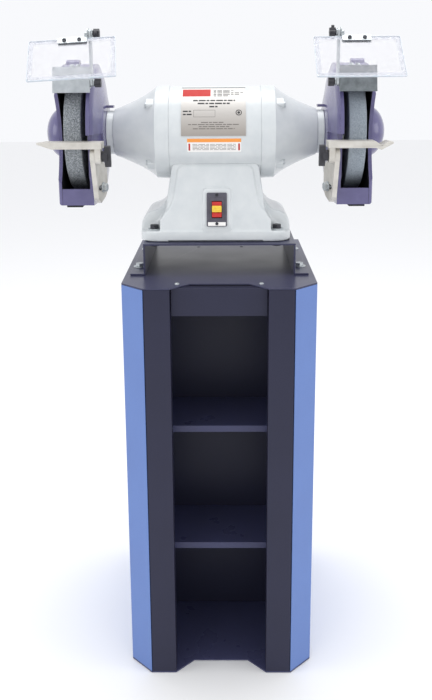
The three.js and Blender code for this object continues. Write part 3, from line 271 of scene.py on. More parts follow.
def set_camera():
    ahead = Vector((math.sin(CAMERA_YAW) * math.cos(CAMERA_PITCH),
                    math.cos(CAMERA_YAW) * math.cos(CAMERA_PITCH), -math.sin(CAMERA_PITCH)))
    level = Vector((math.cos(CAMERA_YAW), -math.sin(CAMERA_YAW), 0))
    up = level.cross(ahead)
    right = level * math.cos(CAMERA_ROLL) + up * math.sin(CAMERA_ROLL)
    up = right.cross(ahead)
    data = bpy.data.cameras.new("camera")
    data.lens = CAMERA_LENS
    data.sensor_width = 36.0
    data.shift_y = CAMERA_SHIFT
    camera = bpy.data.objects.new("camera", data)
    turn = Matrix((right, up, -ahead)).transposed().to_4x4()
    camera.matrix_world = Matrix.Translation(CAMERA_AT) @ turn
    bpy.context.scene.collection.objects.link(camera)
    bpy.context.scene.camera = camera


def lay_floor():
    """A pale sweep large enough for every view."""
    sheet = bmesh.new()
    bmesh.ops.create_grid(sheet, x_segments=1, y_segments=1, size=12)
    data = bpy.data.meshes.new("floor")
    sheet.to_mesh(data)
    sheet.free()
    material, _, shader, _ = new_finish("floor_pale", Roughness=0.9)
    shader.inputs["Base Color"].default_value = linear("f7f7f7")
    data.materials.append(material)
    floor = bpy.data.objects.new("floor", data)
    floor.location.z = -0.0005
    bpy.context.scene.collection.objects.link(floor)


def area_light(name, at, aim, size, power):
    data = bpy.data.lights.new(name, "AREA")
    data.energy = power
    data.size = size
    lamp = bpy.data.objects.new(name, data)
    away = Vector(at) - Vector(aim)
    lamp.matrix_world = Matrix.Translation(at) @ away.to_track_quat("Z", "Y").to_matrix().to_4x4()
    bpy.context.scene.collection.objects.link(lamp)


def light_studio():
    bpy.context.scene.view_settings.view_transform = "Standard"
    world = bpy.data.worlds.new("studio")
    world.use_nodes = True
    world.node_tree.nodes["Background"].inputs["Color"].default_value = linear("fbfcff")
    world.node_tree.nodes["Background"].inputs["Strength"].default_value = 0.98
    bpy.context.scene.world = world
    area_light("key", (-1.6, -2.2, 2.6), (0, 0, 0.8), 1.6, 7)
    area_light("fill", (1.9, -1.8, 1.6), (0, 0, 0.7), 1.8, 4)
    area_light("top", (0.0, 0.3, 3.0), (0, 0, 0.9), 1.6, 27)
    area_light("left_side", (-2.6, -0.8, 1.4), (0, 0, 0.9), 1.4, 11)
    area_light("right_side", (2.6, -0.8, 1.4), (0, 0, 0.9), 1.4, 11)


set_camera()
lay_floor()
light_studio()

# ---- stand: folded sheet metal ----------------------------------------------------------------


def dress(node, coat, edge, sharp=34):
    """Coats a frame node's own mesh and rounds its folds and edges."""
    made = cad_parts[node]
    made.data.materials.clear()
    made.data.materials.append(coat)
    weld = made.modifiers.new("weld", "WELD")
    weld.merge_threshold = 0.00001
    bevel = made.modifiers.new("edges", "BEVEL")
    bevel.width = edge * MM
    bevel.segments = 3
    bevel.angle_limit = math.radians(sharp)
    bevel.harden_normals = True


STAND_COATS = {
    "stand_top_plate": PLATE_NAVY,
    "stand_bottom_plate": NAVY_LIGHTENED_PAINTED_LIGHT,
    "stand_side_panel_left": LIGHT_BLUE,
    "stand_side_panel_right": LIGHT_BLUE,
    "stand_front_post_left": NAVY,
    "stand_front_post_right": NAVY,
    "stand_header": NAVY,
    "stand_partition": NAVY,
    "stand_back_panel": LIGHT_BLUE,
    "shelf_upper": NAVY_LIGHTENED_PAINTED_LIGHT,
    "shelf_lower": NAVY_LIGHTENED_PAINTED_LIGHT,
    "riser_bracket": PLATE_NAVY,
}
for node_name, node_coat in STAND_COATS.items():
    dress(node_name, node_coat, 0.6, sharp=30)

# ---- making pieces ----------------------------------------------------------------------------


def arc(x, y, radius, start, end, steps):
    """Points of an arc, angles in degrees."""
    turns = [math.radians(start + (end - start) * i / steps) for i in range(steps + 1)]
    return [(x + radius * math.cos(t), y + radius * math.sin(t)) for t in turns]


def curve(first, pull, last, steps):
    """Points of a quadratic curve."""
    points = []
    for i in range(steps + 1):
        t = i / steps
        weights = ((1 - t) ** 2, 2 * t * (1 - t), t * t)
        points.append(tuple(sum(w * p[k] for w, p in zip(weights, (first, pull, last))) for k in (0, 1)))
    return points


def rounded(half_x, half_y, radius, steps=6):
    """Outline of a rectangle with round corners."""
    x, y = half_x - radius, half_y - radius
    return (arc(x, y, radius, 0, 90, steps) + arc(-x, y, radius, 90, 180, steps)
            + arc(-x, -y, radius, 180, 270, steps) + arc(x, -y, radius, 270, 360, steps))


AXIS_PLACES = {
    "x": lambda a, b, along: (along, a, b),
    "y": lambda a, b, along: (a, along, b),
    "z": lambda a, b, along: (a, b, along),
}


def prism(outline, axis, low, high):
    """Outline swept straight along an axis: y, z for x; x, z for y; x, y for z."""
    shape = bmesh.new()
    place = AXIS_PLACES[axis]
    ends = [[shape.verts.new(place(a, b, along)) for a, b in outline] for along in (low, high)]
    shape.faces.new(ends[0])
    shape.faces.new(ends[1])
    count = len(outline)
    for i in range(count):
        j = (i + 1) % count
        shape.faces.new((ends[0][i], ends[0][j], ends[1][j], ends[1][i]))
    bmesh.ops.remove_doubles(shape, verts=shape.verts, dist=0.0005)
    bmesh.ops.recalc_face_normals(shape, faces=shape.faces)
    return shape


def turned(profile, steps=96):
    """Closed profile of x, radius points turned about the shaft."""
    shape = bmesh.new()
    rings = []
    for x, radius in profile:
        if radius == 0:
            rings.append([shape.verts.new((x, 0, 0))] * steps)
            continue
        rings.append([shape.verts.new((x, radius * math.cos(2 * math.pi * i / steps),
                                       radius * math.sin(2 * math.pi * i / steps))) for i in range(steps)])
    for near, far in zip(rings, rings[1:] + rings[:1]):
        for i in range(steps):
            j = (i + 1) % steps
            corners = []
            for corner in (near[i], near[j], far[j], far[i]):
                if corner not in corners:
                    corners.append(corner)
            if len(corners) > 2:
                shape.faces.new(corners)
    bmesh.ops.recalc_face_normals(shape, faces=shape.faces)
    return shape


def rod(start, end, radius, sides=24, end_radius=None):
    """Round or many-sided bar between two points."""
    start, end = Vector(start), Vector(end)
    along = end - start
    turn = along.to_track_quat("Z", "Y").to_matrix().to_4x4()
    shape = bmesh.new()
    place = Matrix.Translation((start + end) / 2) @ turn
    bmesh.ops.create_cone(shape, cap_ends=True, segments=sides, radius1=radius,
                          radius2=radius if end_radius is None else end_radius,
                          depth=along.length, matrix=place)
    return shape


def block(low, high):
    """Box between two corners."""
    return prism([(low[0], low[1]), (high[0], low[1]), (high[0], high[1]), (low[0], high[1])], "z",
                 low[2], high[2])


def laid(shape, matrix):
    bmesh.ops.transform(shape, matrix=matrix, verts=shape.verts)
    return shape


def to_object(shape, name="tool"):
    data = bpy.data.meshes.new(name)
    shape.to_mesh(data)
    shape.free()
    made = bpy.data.objects.new(name, data)
    bpy.context.scene.collection.objects.link(made)
    return made


def settled(holder, spare=()):
    """The mesh of an object with its modifiers worked in; the object and its tools go."""
    bpy.context.view_layer.update()
    graph = bpy.context.evaluated_depsgraph_get()
    data = bpy.data.meshes.new_from_object(holder.evaluated_get(graph))
    shape = bmesh.new()
    shape.from_mesh(data)
    for gone in (holder, *spare):
        bpy.data.objects.remove(gone)
    bpy.data.meshes.remove(data)
    return shape


def worked(shape, operation, *tools):
    """shape with each tool cut away, joined on, or kept in common."""
    holder = to_object(shape)
    cutters = [to_object(tool) for tool in tools]
    for cutter in cutters:
        step = holder.modifiers.new("step", "BOOLEAN")
        step.operation = operation
        step.solver = "EXACT"
        step.object = cutter
    return settled(holder, cutters)


def softened(shape, grid, passes):
    """shape with every edge and corner melted together, as sand casting leaves them."""
    holder = to_object(shape)
    remesh = holder.modifiers.new("skin", "REMESH")
    remesh.mode = "VOXEL"
    remesh.voxel_size = grid
    smooth = holder.modifiers.new("soft", "SMOOTH")
    smooth.factor = 0.5
    smooth.iterations = passes
    return settled(holder)


def piece(name, shape, coat, body, end=None, edge=0.0, nodes=(), sharp=32, coats=None):
    """A finished piece: mirrored for the left end, in place, riding its body."""
    side = SIDES.get(end, 1)
    laid(shape, Matrix.Translation(SHAFT) @ Matrix.Diagonal((side * MM, MM, MM, 1)))
    bmesh.ops.recalc_face_normals(shape, faces=shape.faces)
    made = to_object(shape, f"{name}_{end}" if end else name)
    made.data.materials.append(coat)
    for other in coats or ():
        made.data.materials.append(other)
    made.data.shade_smooth()
    made.data.set_sharp_from_angle(angle=math.radians(sharp))
    if edge:
        bevel = made.modifiers.new("edges", "BEVEL")
        bevel.width = edge * MM
        bevel.segments = 3
        bevel.angle_limit = math.radians(sharp)
        bevel.harden_normals = True
    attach(made, body)
    if nodes:
        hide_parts(*nodes)
    return made


def hex_screw(name, at, out, size, coat, body, end=None, washer=True):
    """Hexagon head with its washer, seated at a point and facing out; size is across flats."""
    at, out = Vector(at), Vector(out).normalized()
    thick = size * 0.12 if washer else 0
    head = rod(at + out * thick, at + out * (thick + size * 0.42), size / math.sqrt(3), 6)
    piece(f"{name}_head", head, coat, body, end, edge=size * 0.05)
    if washer:
        ring = rod(at, at + out * thick, size * 0.85, 32)
        piece(f"{name}_washer", ring, ZINC, body, end, edge=0.2)


# ---- motor and base ---------------------------------------------------------------------------
DRUM_RADIUS = 80.7
DRUM_HALF = 79.5
RIM_RADIUS = 82.0
RIM_END = 103.5
COLLAR_START = 179.0
COLLAR_END = 191.5
LUG_ANGLES = (45, 135, 225, 315)
LUG_CIRCLE = 69.0


def motor_drum():
    profile = [(-DRUM_HALF, 75), (-DRUM_HALF, DRUM_RADIUS), (DRUM_HALF, DRUM_RADIUS), (DRUM_HALF, 75)]
    piece("motor_drum", turned(profile, 128), WHITE_ENAMEL, "stand", edge=0.25,
          nodes=("motor_housing",))


def end_bell(end):
    """Rim, hollow cone and collar in one casting, with four bosses for the long screws."""
    cone = curve((RIM_END + 2.6, RIM_RADIUS - 3.2), (127, 60), (COLLAR_START - 0.5, 41.2), 22)
    profile = [(DRUM_HALF + 0.1, 74), (DRUM_HALF + 0.1, RIM_RADIUS - 0.5),
               (DRUM_HALF + 1.2, RIM_RADIUS), (RIM_END, RIM_RADIUS - 0.8), *cone,
               (COLLAR_START, 39.8), (COLLAR_START + 0.8, 38.6), (COLLAR_END - 0.6, 38.6),
               (COLLAR_END, 38.0), (COLLAR_END, 16), (150, 16), (150, 30), (108, 66), (104, 74)]
    bell = turned(profile, 112)
    bosses = []
    for angle in LUG_ANGLES:
        y = LUG_CIRCLE * math.cos(math.radians(angle))
        z = LUG_CIRCLE * math.sin(math.radians(angle))
        lug = prism(rounded(10, 8, 2.5), "x", 94, 118)
        bosses.append(laid(lug, Matrix.Translation((0, y, z)) @ Matrix.Rotation(math.radians(angle), 4, "X")))
    bell = worked(bell, "UNION", *bosses)
    piece("end_bell_casting", bell, WHITE_ENAMEL, "stand", end, edge=0.9,
          nodes=(f"end_bell_{end}",))
    for number, angle in enumerate(LUG_ANGLES, 1):
        y = LUG_CIRCLE * math.cos(math.radians(angle))
        z = LUG_CIRCLE * math.sin(math.radians(angle))
        head = rod((118, y, z), (121.2, y, z), 5.2, 24)
        socket = rod((119.2, y, z), (123, y, z), 2.6, 6)
        piece(f"bell_screw_{number}", worked(head, "DIFFERENCE", socket), ZINC, "stand",
              end, edge=0.4)


FOOT_HALF = 131.0
FOOT_DEPTH = 95.0
FOOT_LOW = -182.2
FOOT_TOP = -165.0
NECK_TOP = -49.0
NECK_SLOPE = (FOOT_DEPTH - 2) * 0.3 / (NECK_TOP - FOOT_TOP)
FACE_TILT = math.atan(NECK_SLOPE)
SWITCH_HEIGHT = -128.0
SWITCH_ASIDE = 2.5
SWITCH_FACE = -(FOOT_DEPTH - 2) + (SWITCH_HEIGHT - FOOT_TOP) * NECK_SLOPE
ON_SWITCH_FACE = (Matrix.Translation((SWITCH_ASIDE, SWITCH_FACE, SWITCH_HEIGHT))
                  @ Matrix.Rotation(-FACE_TILT, 4, "X"))
PAD_HEIGHT = -164.0
NUT_FACE = -185.8  # under the riser's top sheet
BASE_BOLTS = [(107, 72), (107, -72), (-107, 72), (-107, -72)]


def neck_outline(inset):
    """Front view of the neck and its ears, half of it mirrored."""
    foot, waist, head = FOOT_HALF - inset, 84 - inset, 76.5 - inset
    top = NECK_TOP - inset * 0.4
    half = [(foot, FOOT_TOP - 6)]
    ear = FOOT_TOP + 32 - inset * 0.5
    half += curve((foot, FOOT_TOP + 2), (foot - 1, ear - 5), (foot - 20, ear), 8)
    half += curve((foot - 21, ear + 0.3), (waist + 5, ear + 5), (waist - 1, FOOT_TOP + 62), 10)
    half += curve((head, top - 11), (head - 0.5, top), (head - 12, top), 6)
    return half + [(-x, z) for x, z in reversed(half)]


def leaned(shape, depth):
    """Draws the shape in towards its middle plane as it rises."""
    for corner in shape.verts:
        corner.co.y *= 1 - (corner.co.z - FOOT_TOP) * NECK_SLOPE / depth
    return shape


def base_casting():
    """Foot, flared neck and saddle; the neck's face stands proud between its curved flanks."""
    depth = FOOT_DEPTH - 2
    foot = prism(rounded(FOOT_HALF, FOOT_DEPTH - 0.5, 30, 8), "z", FOOT_LOW, FOOT_TOP + 1)
    neck = leaned(prism(neck_outline(0), "y", -depth + 3.5, depth - 3.5), depth)
    panel = leaned(prism(neck_outline(11), "y", -depth - 0.5, depth + 0.5), depth)
    plate = laid(prism(rounded(24, 37, 5), "y", -5, 14), ON_SWITCH_FACE)
    body = worked(foot, "UNION", neck, panel, plate)
    limit = prism(rounded(FOOT_HALF, FOOT_DEPTH, 30, 8), "z", FOOT_LOW - 1, NECK_TOP + 1)
    body = worked(body, "INTERSECT", limit)
    pockets = []
    for turn in (1, -1):
        corner = [(84, -118), (86, -128), (91, -138), (97, -146), (108, -156), (122, -166), (140, -166),
                  (140, -100), (84, -100)]
        for side in (1, -1):
            outline = [(side * x, z) for x, z in corner]
            pockets.append(prism(outline, "y", min(turn * 59, turn * 115), max(turn * 59, turn * 115)))
    for x, y in BASE_BOLTS:
        out = math.copysign(FOOT_DEPTH + 20, y)
        pockets.append(block((x - 11, min(y * 0.85, out), PAD_HEIGHT), (x + 11, max(y * 0.85, out), -130)))
    body = softened(worked(body, "DIFFERENCE", *pockets), 1.6, 7)
    tools = [rod((-92, 0, 0), (92, 0, 0), DRUM_RADIUS + 0.5, 128),
             block((-118, -85, FOOT_LOW - 6), (118, 85, FOOT_TOP)),
             block((-66, -62, FOOT_TOP - 2), (66, 62, -60)),
             block((-140, -110, FOOT_LOW - 9), (140, 110, FOOT_LOW + 0.8)),
             block((-82, -110, FOOT_LOW - 9), (82, 110, FOOT_LOW + 3.2)),
             laid(block((-12.9, -18, -21.3), (12.9, 22, 21.3)), ON_SWITCH_FACE)]
    tools += [rod((x, y, PAD_HEIGHT + 0.2), (x, y, PAD_HEIGHT + 16), 12, 40) for x, y in BASE_BOLTS]
    body = worked(body, "DIFFERENCE", *tools)
    floor_pads = [rod((x, y, FOOT_LOW), (x, y, PAD_HEIGHT - 0.5), 12, 32) for x, y in BASE_BOLTS]
    body = worked(body, "UNION", *floor_pads)
    piece("base_iron_casting", body, WHITE_ENAMEL, "stand", nodes=("base_casting",), sharp=40)
    for number, (x, y) in enumerate(BASE_BOLTS, 1):
        washer = rod((x, y, PAD_HEIGHT), (x, y, PAD_HEIGHT + 2), 11.5, 32)
        piece(f"base_bolt_{number}_washer", washer, ZINC, "stand", edge=0.3)
        for part, low, high, radius in (("head", PAD_HEIGHT + 2, PAD_HEIGHT + 8.5, 8.2),
                                        ("nut", NUT_FACE, NUT_FACE - 7.2, 8.6)):
            hexagon = rod((x, y, low), (x, y, high), radius, 6)
            piece(f"base_bolt_{number}_{part}", hexagon, DARK_STEEL, "stand", edge=0.5)


def rocker_switch():
    """Charcoal plate in a frame, red rocker and the yellow key that locks it."""
    back = -5.4
    front = back - 2.4
    frame_edge = prism(rounded(17.4, 29.1, 2.2), "y", front, back)
    frame_edge = worked(frame_edge, "DIFFERENCE",
                        prism(rounded(13.6, 21.6, 1.2), "y", front - 1, front + 0.9),
                        block((-8.9, front - 1, -14.7), (8.9, 4, 14.7)))
    well = worked(block((-12.5, -6.2, -21), (12.5, 16, 21)), "DIFFERENCE",
                  block((-8.9, -9, -14.7), (8.9, 6, 14.7)))
    joined = worked(frame_edge, "UNION", well)
    piece("switch_face_plate", laid(joined, ON_SWITCH_FACE), DARK_PLASTIC, "stand",
          edge=0.4, nodes=("switch_plate",))
    rocker = prism([(front + 7, -13.3), (front - 1.2, -13.3), (front + 0.4, 0), (front - 1.2, 13.3),
                    (front + 7, 13.3)], "x", -8.2, 8.2)
    pocket = block((-4.2, front - 3, -0.8), (4.2, front + 5, 3.8))
    rocker = worked(rocker, "DIFFERENCE", pocket)
    piece("rocker", laid(rocker, ON_SWITCH_FACE), RED_PLASTIC, "paddle", edge=0.5,
          nodes=("switch_paddle",))
    key = prism(rounded(8.2, 5.4, 1.3), "y", front - 5.6, front - 1.5)
    ribs = [block((-6.5, front - 6.4, z - 0.4), (6.5, front - 5.2, z + 0.4)) for z in (-2.6, 0, 2.6)]
    tongue = block((-4, front - 2.5, -2), (4, front + 4.5, 2))
    key = worked(worked(key, "DIFFERENCE", *ribs), "UNION", tongue)
    key = laid(key, ON_SWITCH_FACE @ Matrix.Translation((0, 0, 0.6)))
    piece("locking_key", key, YELLOW_PLASTIC, "key", edge=0.35, nodes=("switch_key",))
    strip = laid(block((-15.2, front - 0.12, -28), (15.2, front + 0.4, -21.8)), ON_SWITCH_FACE)
    piece("switch_label_strip", strip, LABEL_WHITE, "stand")
    for name, z in (("upper", 25.2), ("lower", -24.4)):
        head = rod((0, front - 1.6, z), (0, front + 0.2, z), 2.6, 20)
        cross = [block((-1.7, front - 2.4, z - 0.35), (1.7, front - 1.0, z + 0.35)),
                 block((-0.35, front - 2.4, z - 1.7), (0.35, front - 1.0, z + 1.7))]
        piece(f"switch_screw_{name}", laid(worked(head, "DIFFERENCE", *cross), ON_SWITCH_FACE), DARK_STEEL,
              "stand", edge=0.25)


# ---- printed plates ---------------------------------------------------------------------------
def flat_print(name, colour, rough, metallic=0.0):
    """Screen-printed ink: thin, even, slightly worn gloss."""
    material, tree, shader, place = new_finish(name, Metallic=metallic)
    wear = add(tree, "ShaderNodeTexNoise", {"Vector": place, "Scale": per_mm(5), "Detail": 4.0})
    gloss = add(tree, "ShaderNodeMapRange", {"Value": wear.outputs["Fac"], "To Min": rough - 0.08,
                                             "To Max": rough + 0.1})
    tree.links.new(gloss.outputs[0], shader.inputs["Roughness"])
    shader.inputs["Base Color"].default_value = linear(colour)
    return material


def brushed_foil():
    """Anodised foil plate brushed lengthways, with painted shading: pale at the top where the drum turns up to
    the light, warm grey lower down.
    """
    material, tree, shader, place = new_finish("anodised_foil_painted_shading", Metallic=0.25)
    height = add(tree, "ShaderNodeSeparateXYZ", {"Vector": place})
    # Colour from warm grey low on the plate to pale at its top: painted shading of the curved plate under the
    # top light.
    painted_shade_by_height = add(tree, "ShaderNodeMapRange", {"Value": height.outputs["Z"], "From Min": SHAFT.z,
                                            "From Max": SHAFT.z + 78 * MM})
    lines = add(tree, "ShaderNodeMapping", {"Vector": place, "Scale": (0.03, 1.0, 1.0)})
    brush = add(tree, "ShaderNodeTexNoise", {"Vector": lines.outputs[0], "Scale": per_mm(0.8), "Detail": 3.0})
    ramp = add(tree, "ShaderNodeValToRGB", {"Fac": painted_shade_by_height.outputs[0]},
               stops=((0.0, "a39c95"), (1.0, "dcdad6")))
    tree.links.new(ramp.outputs["Color"], shader.inputs["Base Color"])
    gloss = add(tree, "ShaderNodeMapRange", {"Value": brush.outputs["Fac"], "To Min": 0.34, "To Max": 0.58})
    tree.links.new(gloss.outputs[0], shader.inputs["Roughness"])
    return material


FOIL = brushed_foil()
INK_BLACK = flat_print("ink_black", "2b2b2d", 0.45)
INK_GREY = flat_print("ink_grey", "6f6a66", 0.5)
INK_RED = flat_print("ink_red", "bb1c15", 0.6)
INK_ORANGE = flat_print("ink_orange", "f39a45", 0.4)
LABEL_WHITE = flat_print("label_vinyl_white", "f1efec", 0.35)
PLATE_MIDDLE = -2.5
PLATE_RADIUS = 82.1


def wrapped(x0, x1, low, high, radius, thick=0.12):
    """Thin patch round the front of the drum, between two heights in degrees above the shaft."""
    steps = max(2, int(abs(high - low) / 2.5))
    outer = arc(0, 0, radius + thick, 180 - low, 180 - high, steps)
    inner = arc(0, 0, radius - 0.25, 180 - high, 180 - low, steps)
    return prism(outer + inner, "x", x0, x1)


def print_rows(name, rows, radius, ink):
    """Rows of short dashes standing for small print: left, right, degrees, height."""
    patches = []
    for left, right, angle, height in rows:
        x = left
        number = 0
        while x < right - 1:
            width = min(5.0 + 3.4 * ((number * 7 + int(angle)) % 3), right - x)
            patches.append(wrapped(x, x + width, angle, angle + height, radius, 0.06))
            x += width + 1.5
            number += 1
    dashes = bmesh.new()
    for patch in patches:
        data = bpy.data.meshes.new("dash")
        patch.to_mesh(data)
        patch.free()
        dashes.from_mesh(data)
        bpy.data.meshes.remove(data)
    piece(name, dashes, ink, "stand")


def rating_plate():
    """Foil plate with a black head line, a plain red block, rows of dashes, a box and a ring mark."""
    left, right = PLATE_MIDDLE - 55, PLATE_MIDDLE + 55
    piece("rating_plate_foil", wrapped(left, right, -1, 72, 81.0, PLATE_RADIUS - 81.0), FOIL, "stand",
          nodes=("nameplate",))
    piece("rating_plate_head_line", wrapped(left, right, 70, 72, PLATE_RADIUS), INK_BLACK, "stand")
    piece("rating_plate_red_block", wrapped(left + 2, left + 50, 51, 66, PLATE_RADIUS), INK_RED, "stand")
    print_rows("rating_plate_rows", [
        (left + 55, right - 19, 63, 1.6), (left + 55, right - 27, 60, 1.6), (left + 55, right - 4, 57, 1.6),
        (left + 55, right - 10, 54, 1.6), (left + 55, right - 30, 51, 1.6),
        (left + 20, right - 18, 43, 2.2), (left + 28, right - 27, 38.5, 2.2), (left + 48, right - 48, 34, 2.0),
        (left + 3, left + 17, 28, 1.7), (left + 3, left + 19, 24, 1.7)], PLATE_RADIUS, INK_BLACK)
    print_rows("rating_plate_small_rows", [
        (left + 34, right - 38, 14.5, 1.0), (left + 12, right - 12, 12, 1.0), (left + 30, right - 28, 9.5, 1.0),
        (left + 20, right - 19, 7, 1.0)], PLATE_RADIUS, INK_GREY)
    outer = wrapped(left + 21, left + 58, 21.5, 30.5, PLATE_RADIUS, 0.07)
    hole = wrapped(left + 21.5, left + 57.5, 21.9, 30.1, PLATE_RADIUS - 1, 3)
    piece("rating_plate_box", worked(outer, "DIFFERENCE", hole), INK_GREY, "stand")
    tilt = Matrix.Rotation(math.radians(-27), 4, "X")
    ring = worked(rod((0, -PLATE_RADIUS - 0.25, 0), (0, -PLATE_RADIUS + 1, 0), 5.2, 40), "DIFFERENCE",
                  rod((0, -PLATE_RADIUS - 2, 0), (0, -PLATE_RADIUS + 2, 0), 4.0, 40))
    dot = rod((0, -PLATE_RADIUS - 0.22, 0), (0, -PLATE_RADIUS + 1, 0), 2.2, 24)
    mark = laid(worked(ring, "UNION", dot), Matrix.Translation((right - 12, 0, 0)) @ tilt)
    piece("rating_plate_ring_mark", mark, INK_BLACK, "stand")


def safety_label():
    """White vinyl with an orange head, two red bars and pale rows, all without words."""
    left, right = PLATE_MIDDLE - 45, PLATE_MIDDLE + 47
    radius = DRUM_RADIUS + 0.1
    piece("safety_label_vinyl", wrapped(left, right, -21, -4.2, radius), LABEL_WHITE, "stand")
    piece("safety_label_head", wrapped(left, right, -8.6, -4.2, radius + 0.12, 0.06), INK_ORANGE, "stand")
    for name, x in (("left", left + 2), ("right", right - 5)):
        bar = wrapped(x, x + 3, -19, -10.2, radius + 0.12, 0.06)
        piece(f"safety_label_bar_{name}", bar, INK_RED, "stand")
    rows = [(left + 9, right - 9, -11.5 - 1.7 * i, 0.6) for i in range(5)]
    print_rows("safety_label_rows", rows, radius + 0.12, INK_GREY)


# ---- wheels and guards ------------------------------------------------------------------------
GUARD_RADIUS = 120.0
GUARD_IN = 208.0
CAVITY_IN = 214.0
GUARD_OUT = 262.0
BAND = 7.0
LIP_FRONT = -92.0
MOUTH_TOP = 88.0
MOUTH_LOW = -90.0
REST_BEND = math.radians(13)
DOME_END = 301.0
GRITS = {"left": COARSE_GRIT, "right": FINE_GRIT}


def guard_outline(inset, steps=72):
    """Side view of the guard: round behind and above, squared off at the lower front."""
    radius = GUARD_RADIUS - inset
    front = LIP_FRONT + inset
    meet = math.degrees(math.asin(math.sqrt(1 - (front / radius) ** 2)))
    round_part = arc(0, 0, radius, 180 + meet, -90, steps)
    return [(-40 + inset * 0.2, -radius), (front, -118 + inset * 0.8)] + round_part


def leg_face(y, away=0.0):
    """Where the rest arm's slanted leg faces the guard."""
    return 206 + away / math.cos(REST_BEND) - (y + 100) * math.tan(REST_BEND)


def grinding_wheel(end):
    profile = [(225, 8.2), (254, 8.2), (254, 34), (253.2, 36), (253.2, 96), (254, 98), (254, 100.6),
               (253, 101.6), (226, 101.6), (225, 100.6)]
    piece("abrasive_wheel", turned(profile, 128), GRITS[end], "spindle", end,
          nodes=(f"grinding_wheel_{end}",))
    for name, face in (("inner", 224.75), ("outer", 254.25)):
        card = turned([(face - 0.2, 10), (face + 0.2, 10), (face + 0.2, 44), (face - 0.2, 44)], 64)
        piece(f"wheel_card_{name}", card, INK_GREY, "spindle", end)


def guard_body(end):
    """Hub flaring from the motor's collar into a deep dish with a band round the wheel."""
    start = COLLAR_END + 0.3
    flare = (curve((start + 0.3, 41), (start + 0.8, 56), (start + 4, 68), 8)
             + curve((start + 4.6, 71), (start + 9.4, 94), (start + 10.6, 101), 8)
             + curve((start + 11.4, 106), (start + 13, 112), (GUARD_IN, 116), 8))
    hub = turned([(start, 14), (start, 40), *flare, (CAVITY_IN, 116), (CAVITY_IN, 14)], 112)
    shell = prism(guard_outline(0), "x", GUARD_IN, GUARD_OUT)
    cavity = prism(guard_outline(BAND), "x", CAVITY_IN, GUARD_OUT + 9)
    tab = block((start - 11, -8, 43.6), (start + 3, 8, 48))
    body = worked(worked(hub, "UNION", shell, tab), "DIFFERENCE", cavity)
    seat = prism([(180, -146), (leg_face(-100, 1), -146), (leg_face(-100, 1), -100),
                  (leg_face(-58, 1), -58), (180, -58)], "z", -106, 3)
    body = worked(body, "DIFFERENCE", seat)
    boss = prism([(leg_face(-91, 0.4), -91), (CAVITY_IN - 1, -91), (CAVITY_IN - 1, -66),
                  (leg_face(-66, 0.4), -66)], "z", -102, -74)
    pad = block((222, -84, 88), (246, -60, 111.7))
    eye = rod((238, 0, 117.5), (261.5, 0, 117.5), 9.5, 40)
    body = worked(body, "UNION", boss, pad, eye)
    mouth = block((CAVITY_IN, -150, MOUTH_LOW), (GUARD_OUT + 9, -55, MOUTH_TOP))
    notch = block((185, -150, MOUTH_LOW), (GUARD_OUT + 9, -99, 3))
    inside = prism(guard_outline(BAND), "x", CAVITY_IN, GUARD_OUT + 9)
    body = worked(body, "DIFFERENCE", mouth, notch, inside, rod((150, 0, 0), (230, 0, 0), 14, 48),
                  rod((230, 0, 119), (266, 0, 119), 3.2, 24))
    # Faces inside the wheel cavity take the second coat, near-black painted shade.
    for face in body.faces:
        spot = face.calc_center_median()
        depth = math.hypot(spot.y, spot.z)
        walled = spot.x > CAVITY_IN - 0.2 and depth < GUARD_RADIUS - BAND + 0.4
        if walled and spot.y > LIP_FRONT + BAND - 0.6:
            face.material_index = 1
    piece("guard_casting", body, PURPLE_ENAMEL, "stand", end, edge=1.1,
          nodes=(f"guard_body_{end}",), coats=(CAVITY_PAINTED_SHADE,))
    stub = block((233, -62, -126), (261, -4, -119.5))
    piece("dust_port_stub", stub, RUBBER, "stand", end, edge=0.8)
    for number, y in enumerate((-80, -71), 1):
        hex_screw(f"arrestor_screw_{number}", (228 + 12 * (number - 1), y, 114.6), (0, 0, 1), 7, ZINC,
                  f"arrestor_{end}", end)


def lofted(stations):
    """Solid through matching outlines of y, z points, each at its own x."""
    shape = bmesh.new()
    rings = [[shape.verts.new((x, y, z)) for y, z in outline] for x, outline in stations]
    shape.faces.new(rings[0])
    shape.faces.new(rings[-1])
    count = len(rings[0])
    for near, far in zip(rings, rings[1:]):
        for i in range(count):
            j = (i + 1) % count
            shape.faces.new((near[i], near[j], far[j], far[i]))
    bmesh.ops.recalc_face_normals(shape, faces=shape.faces)
    return shape


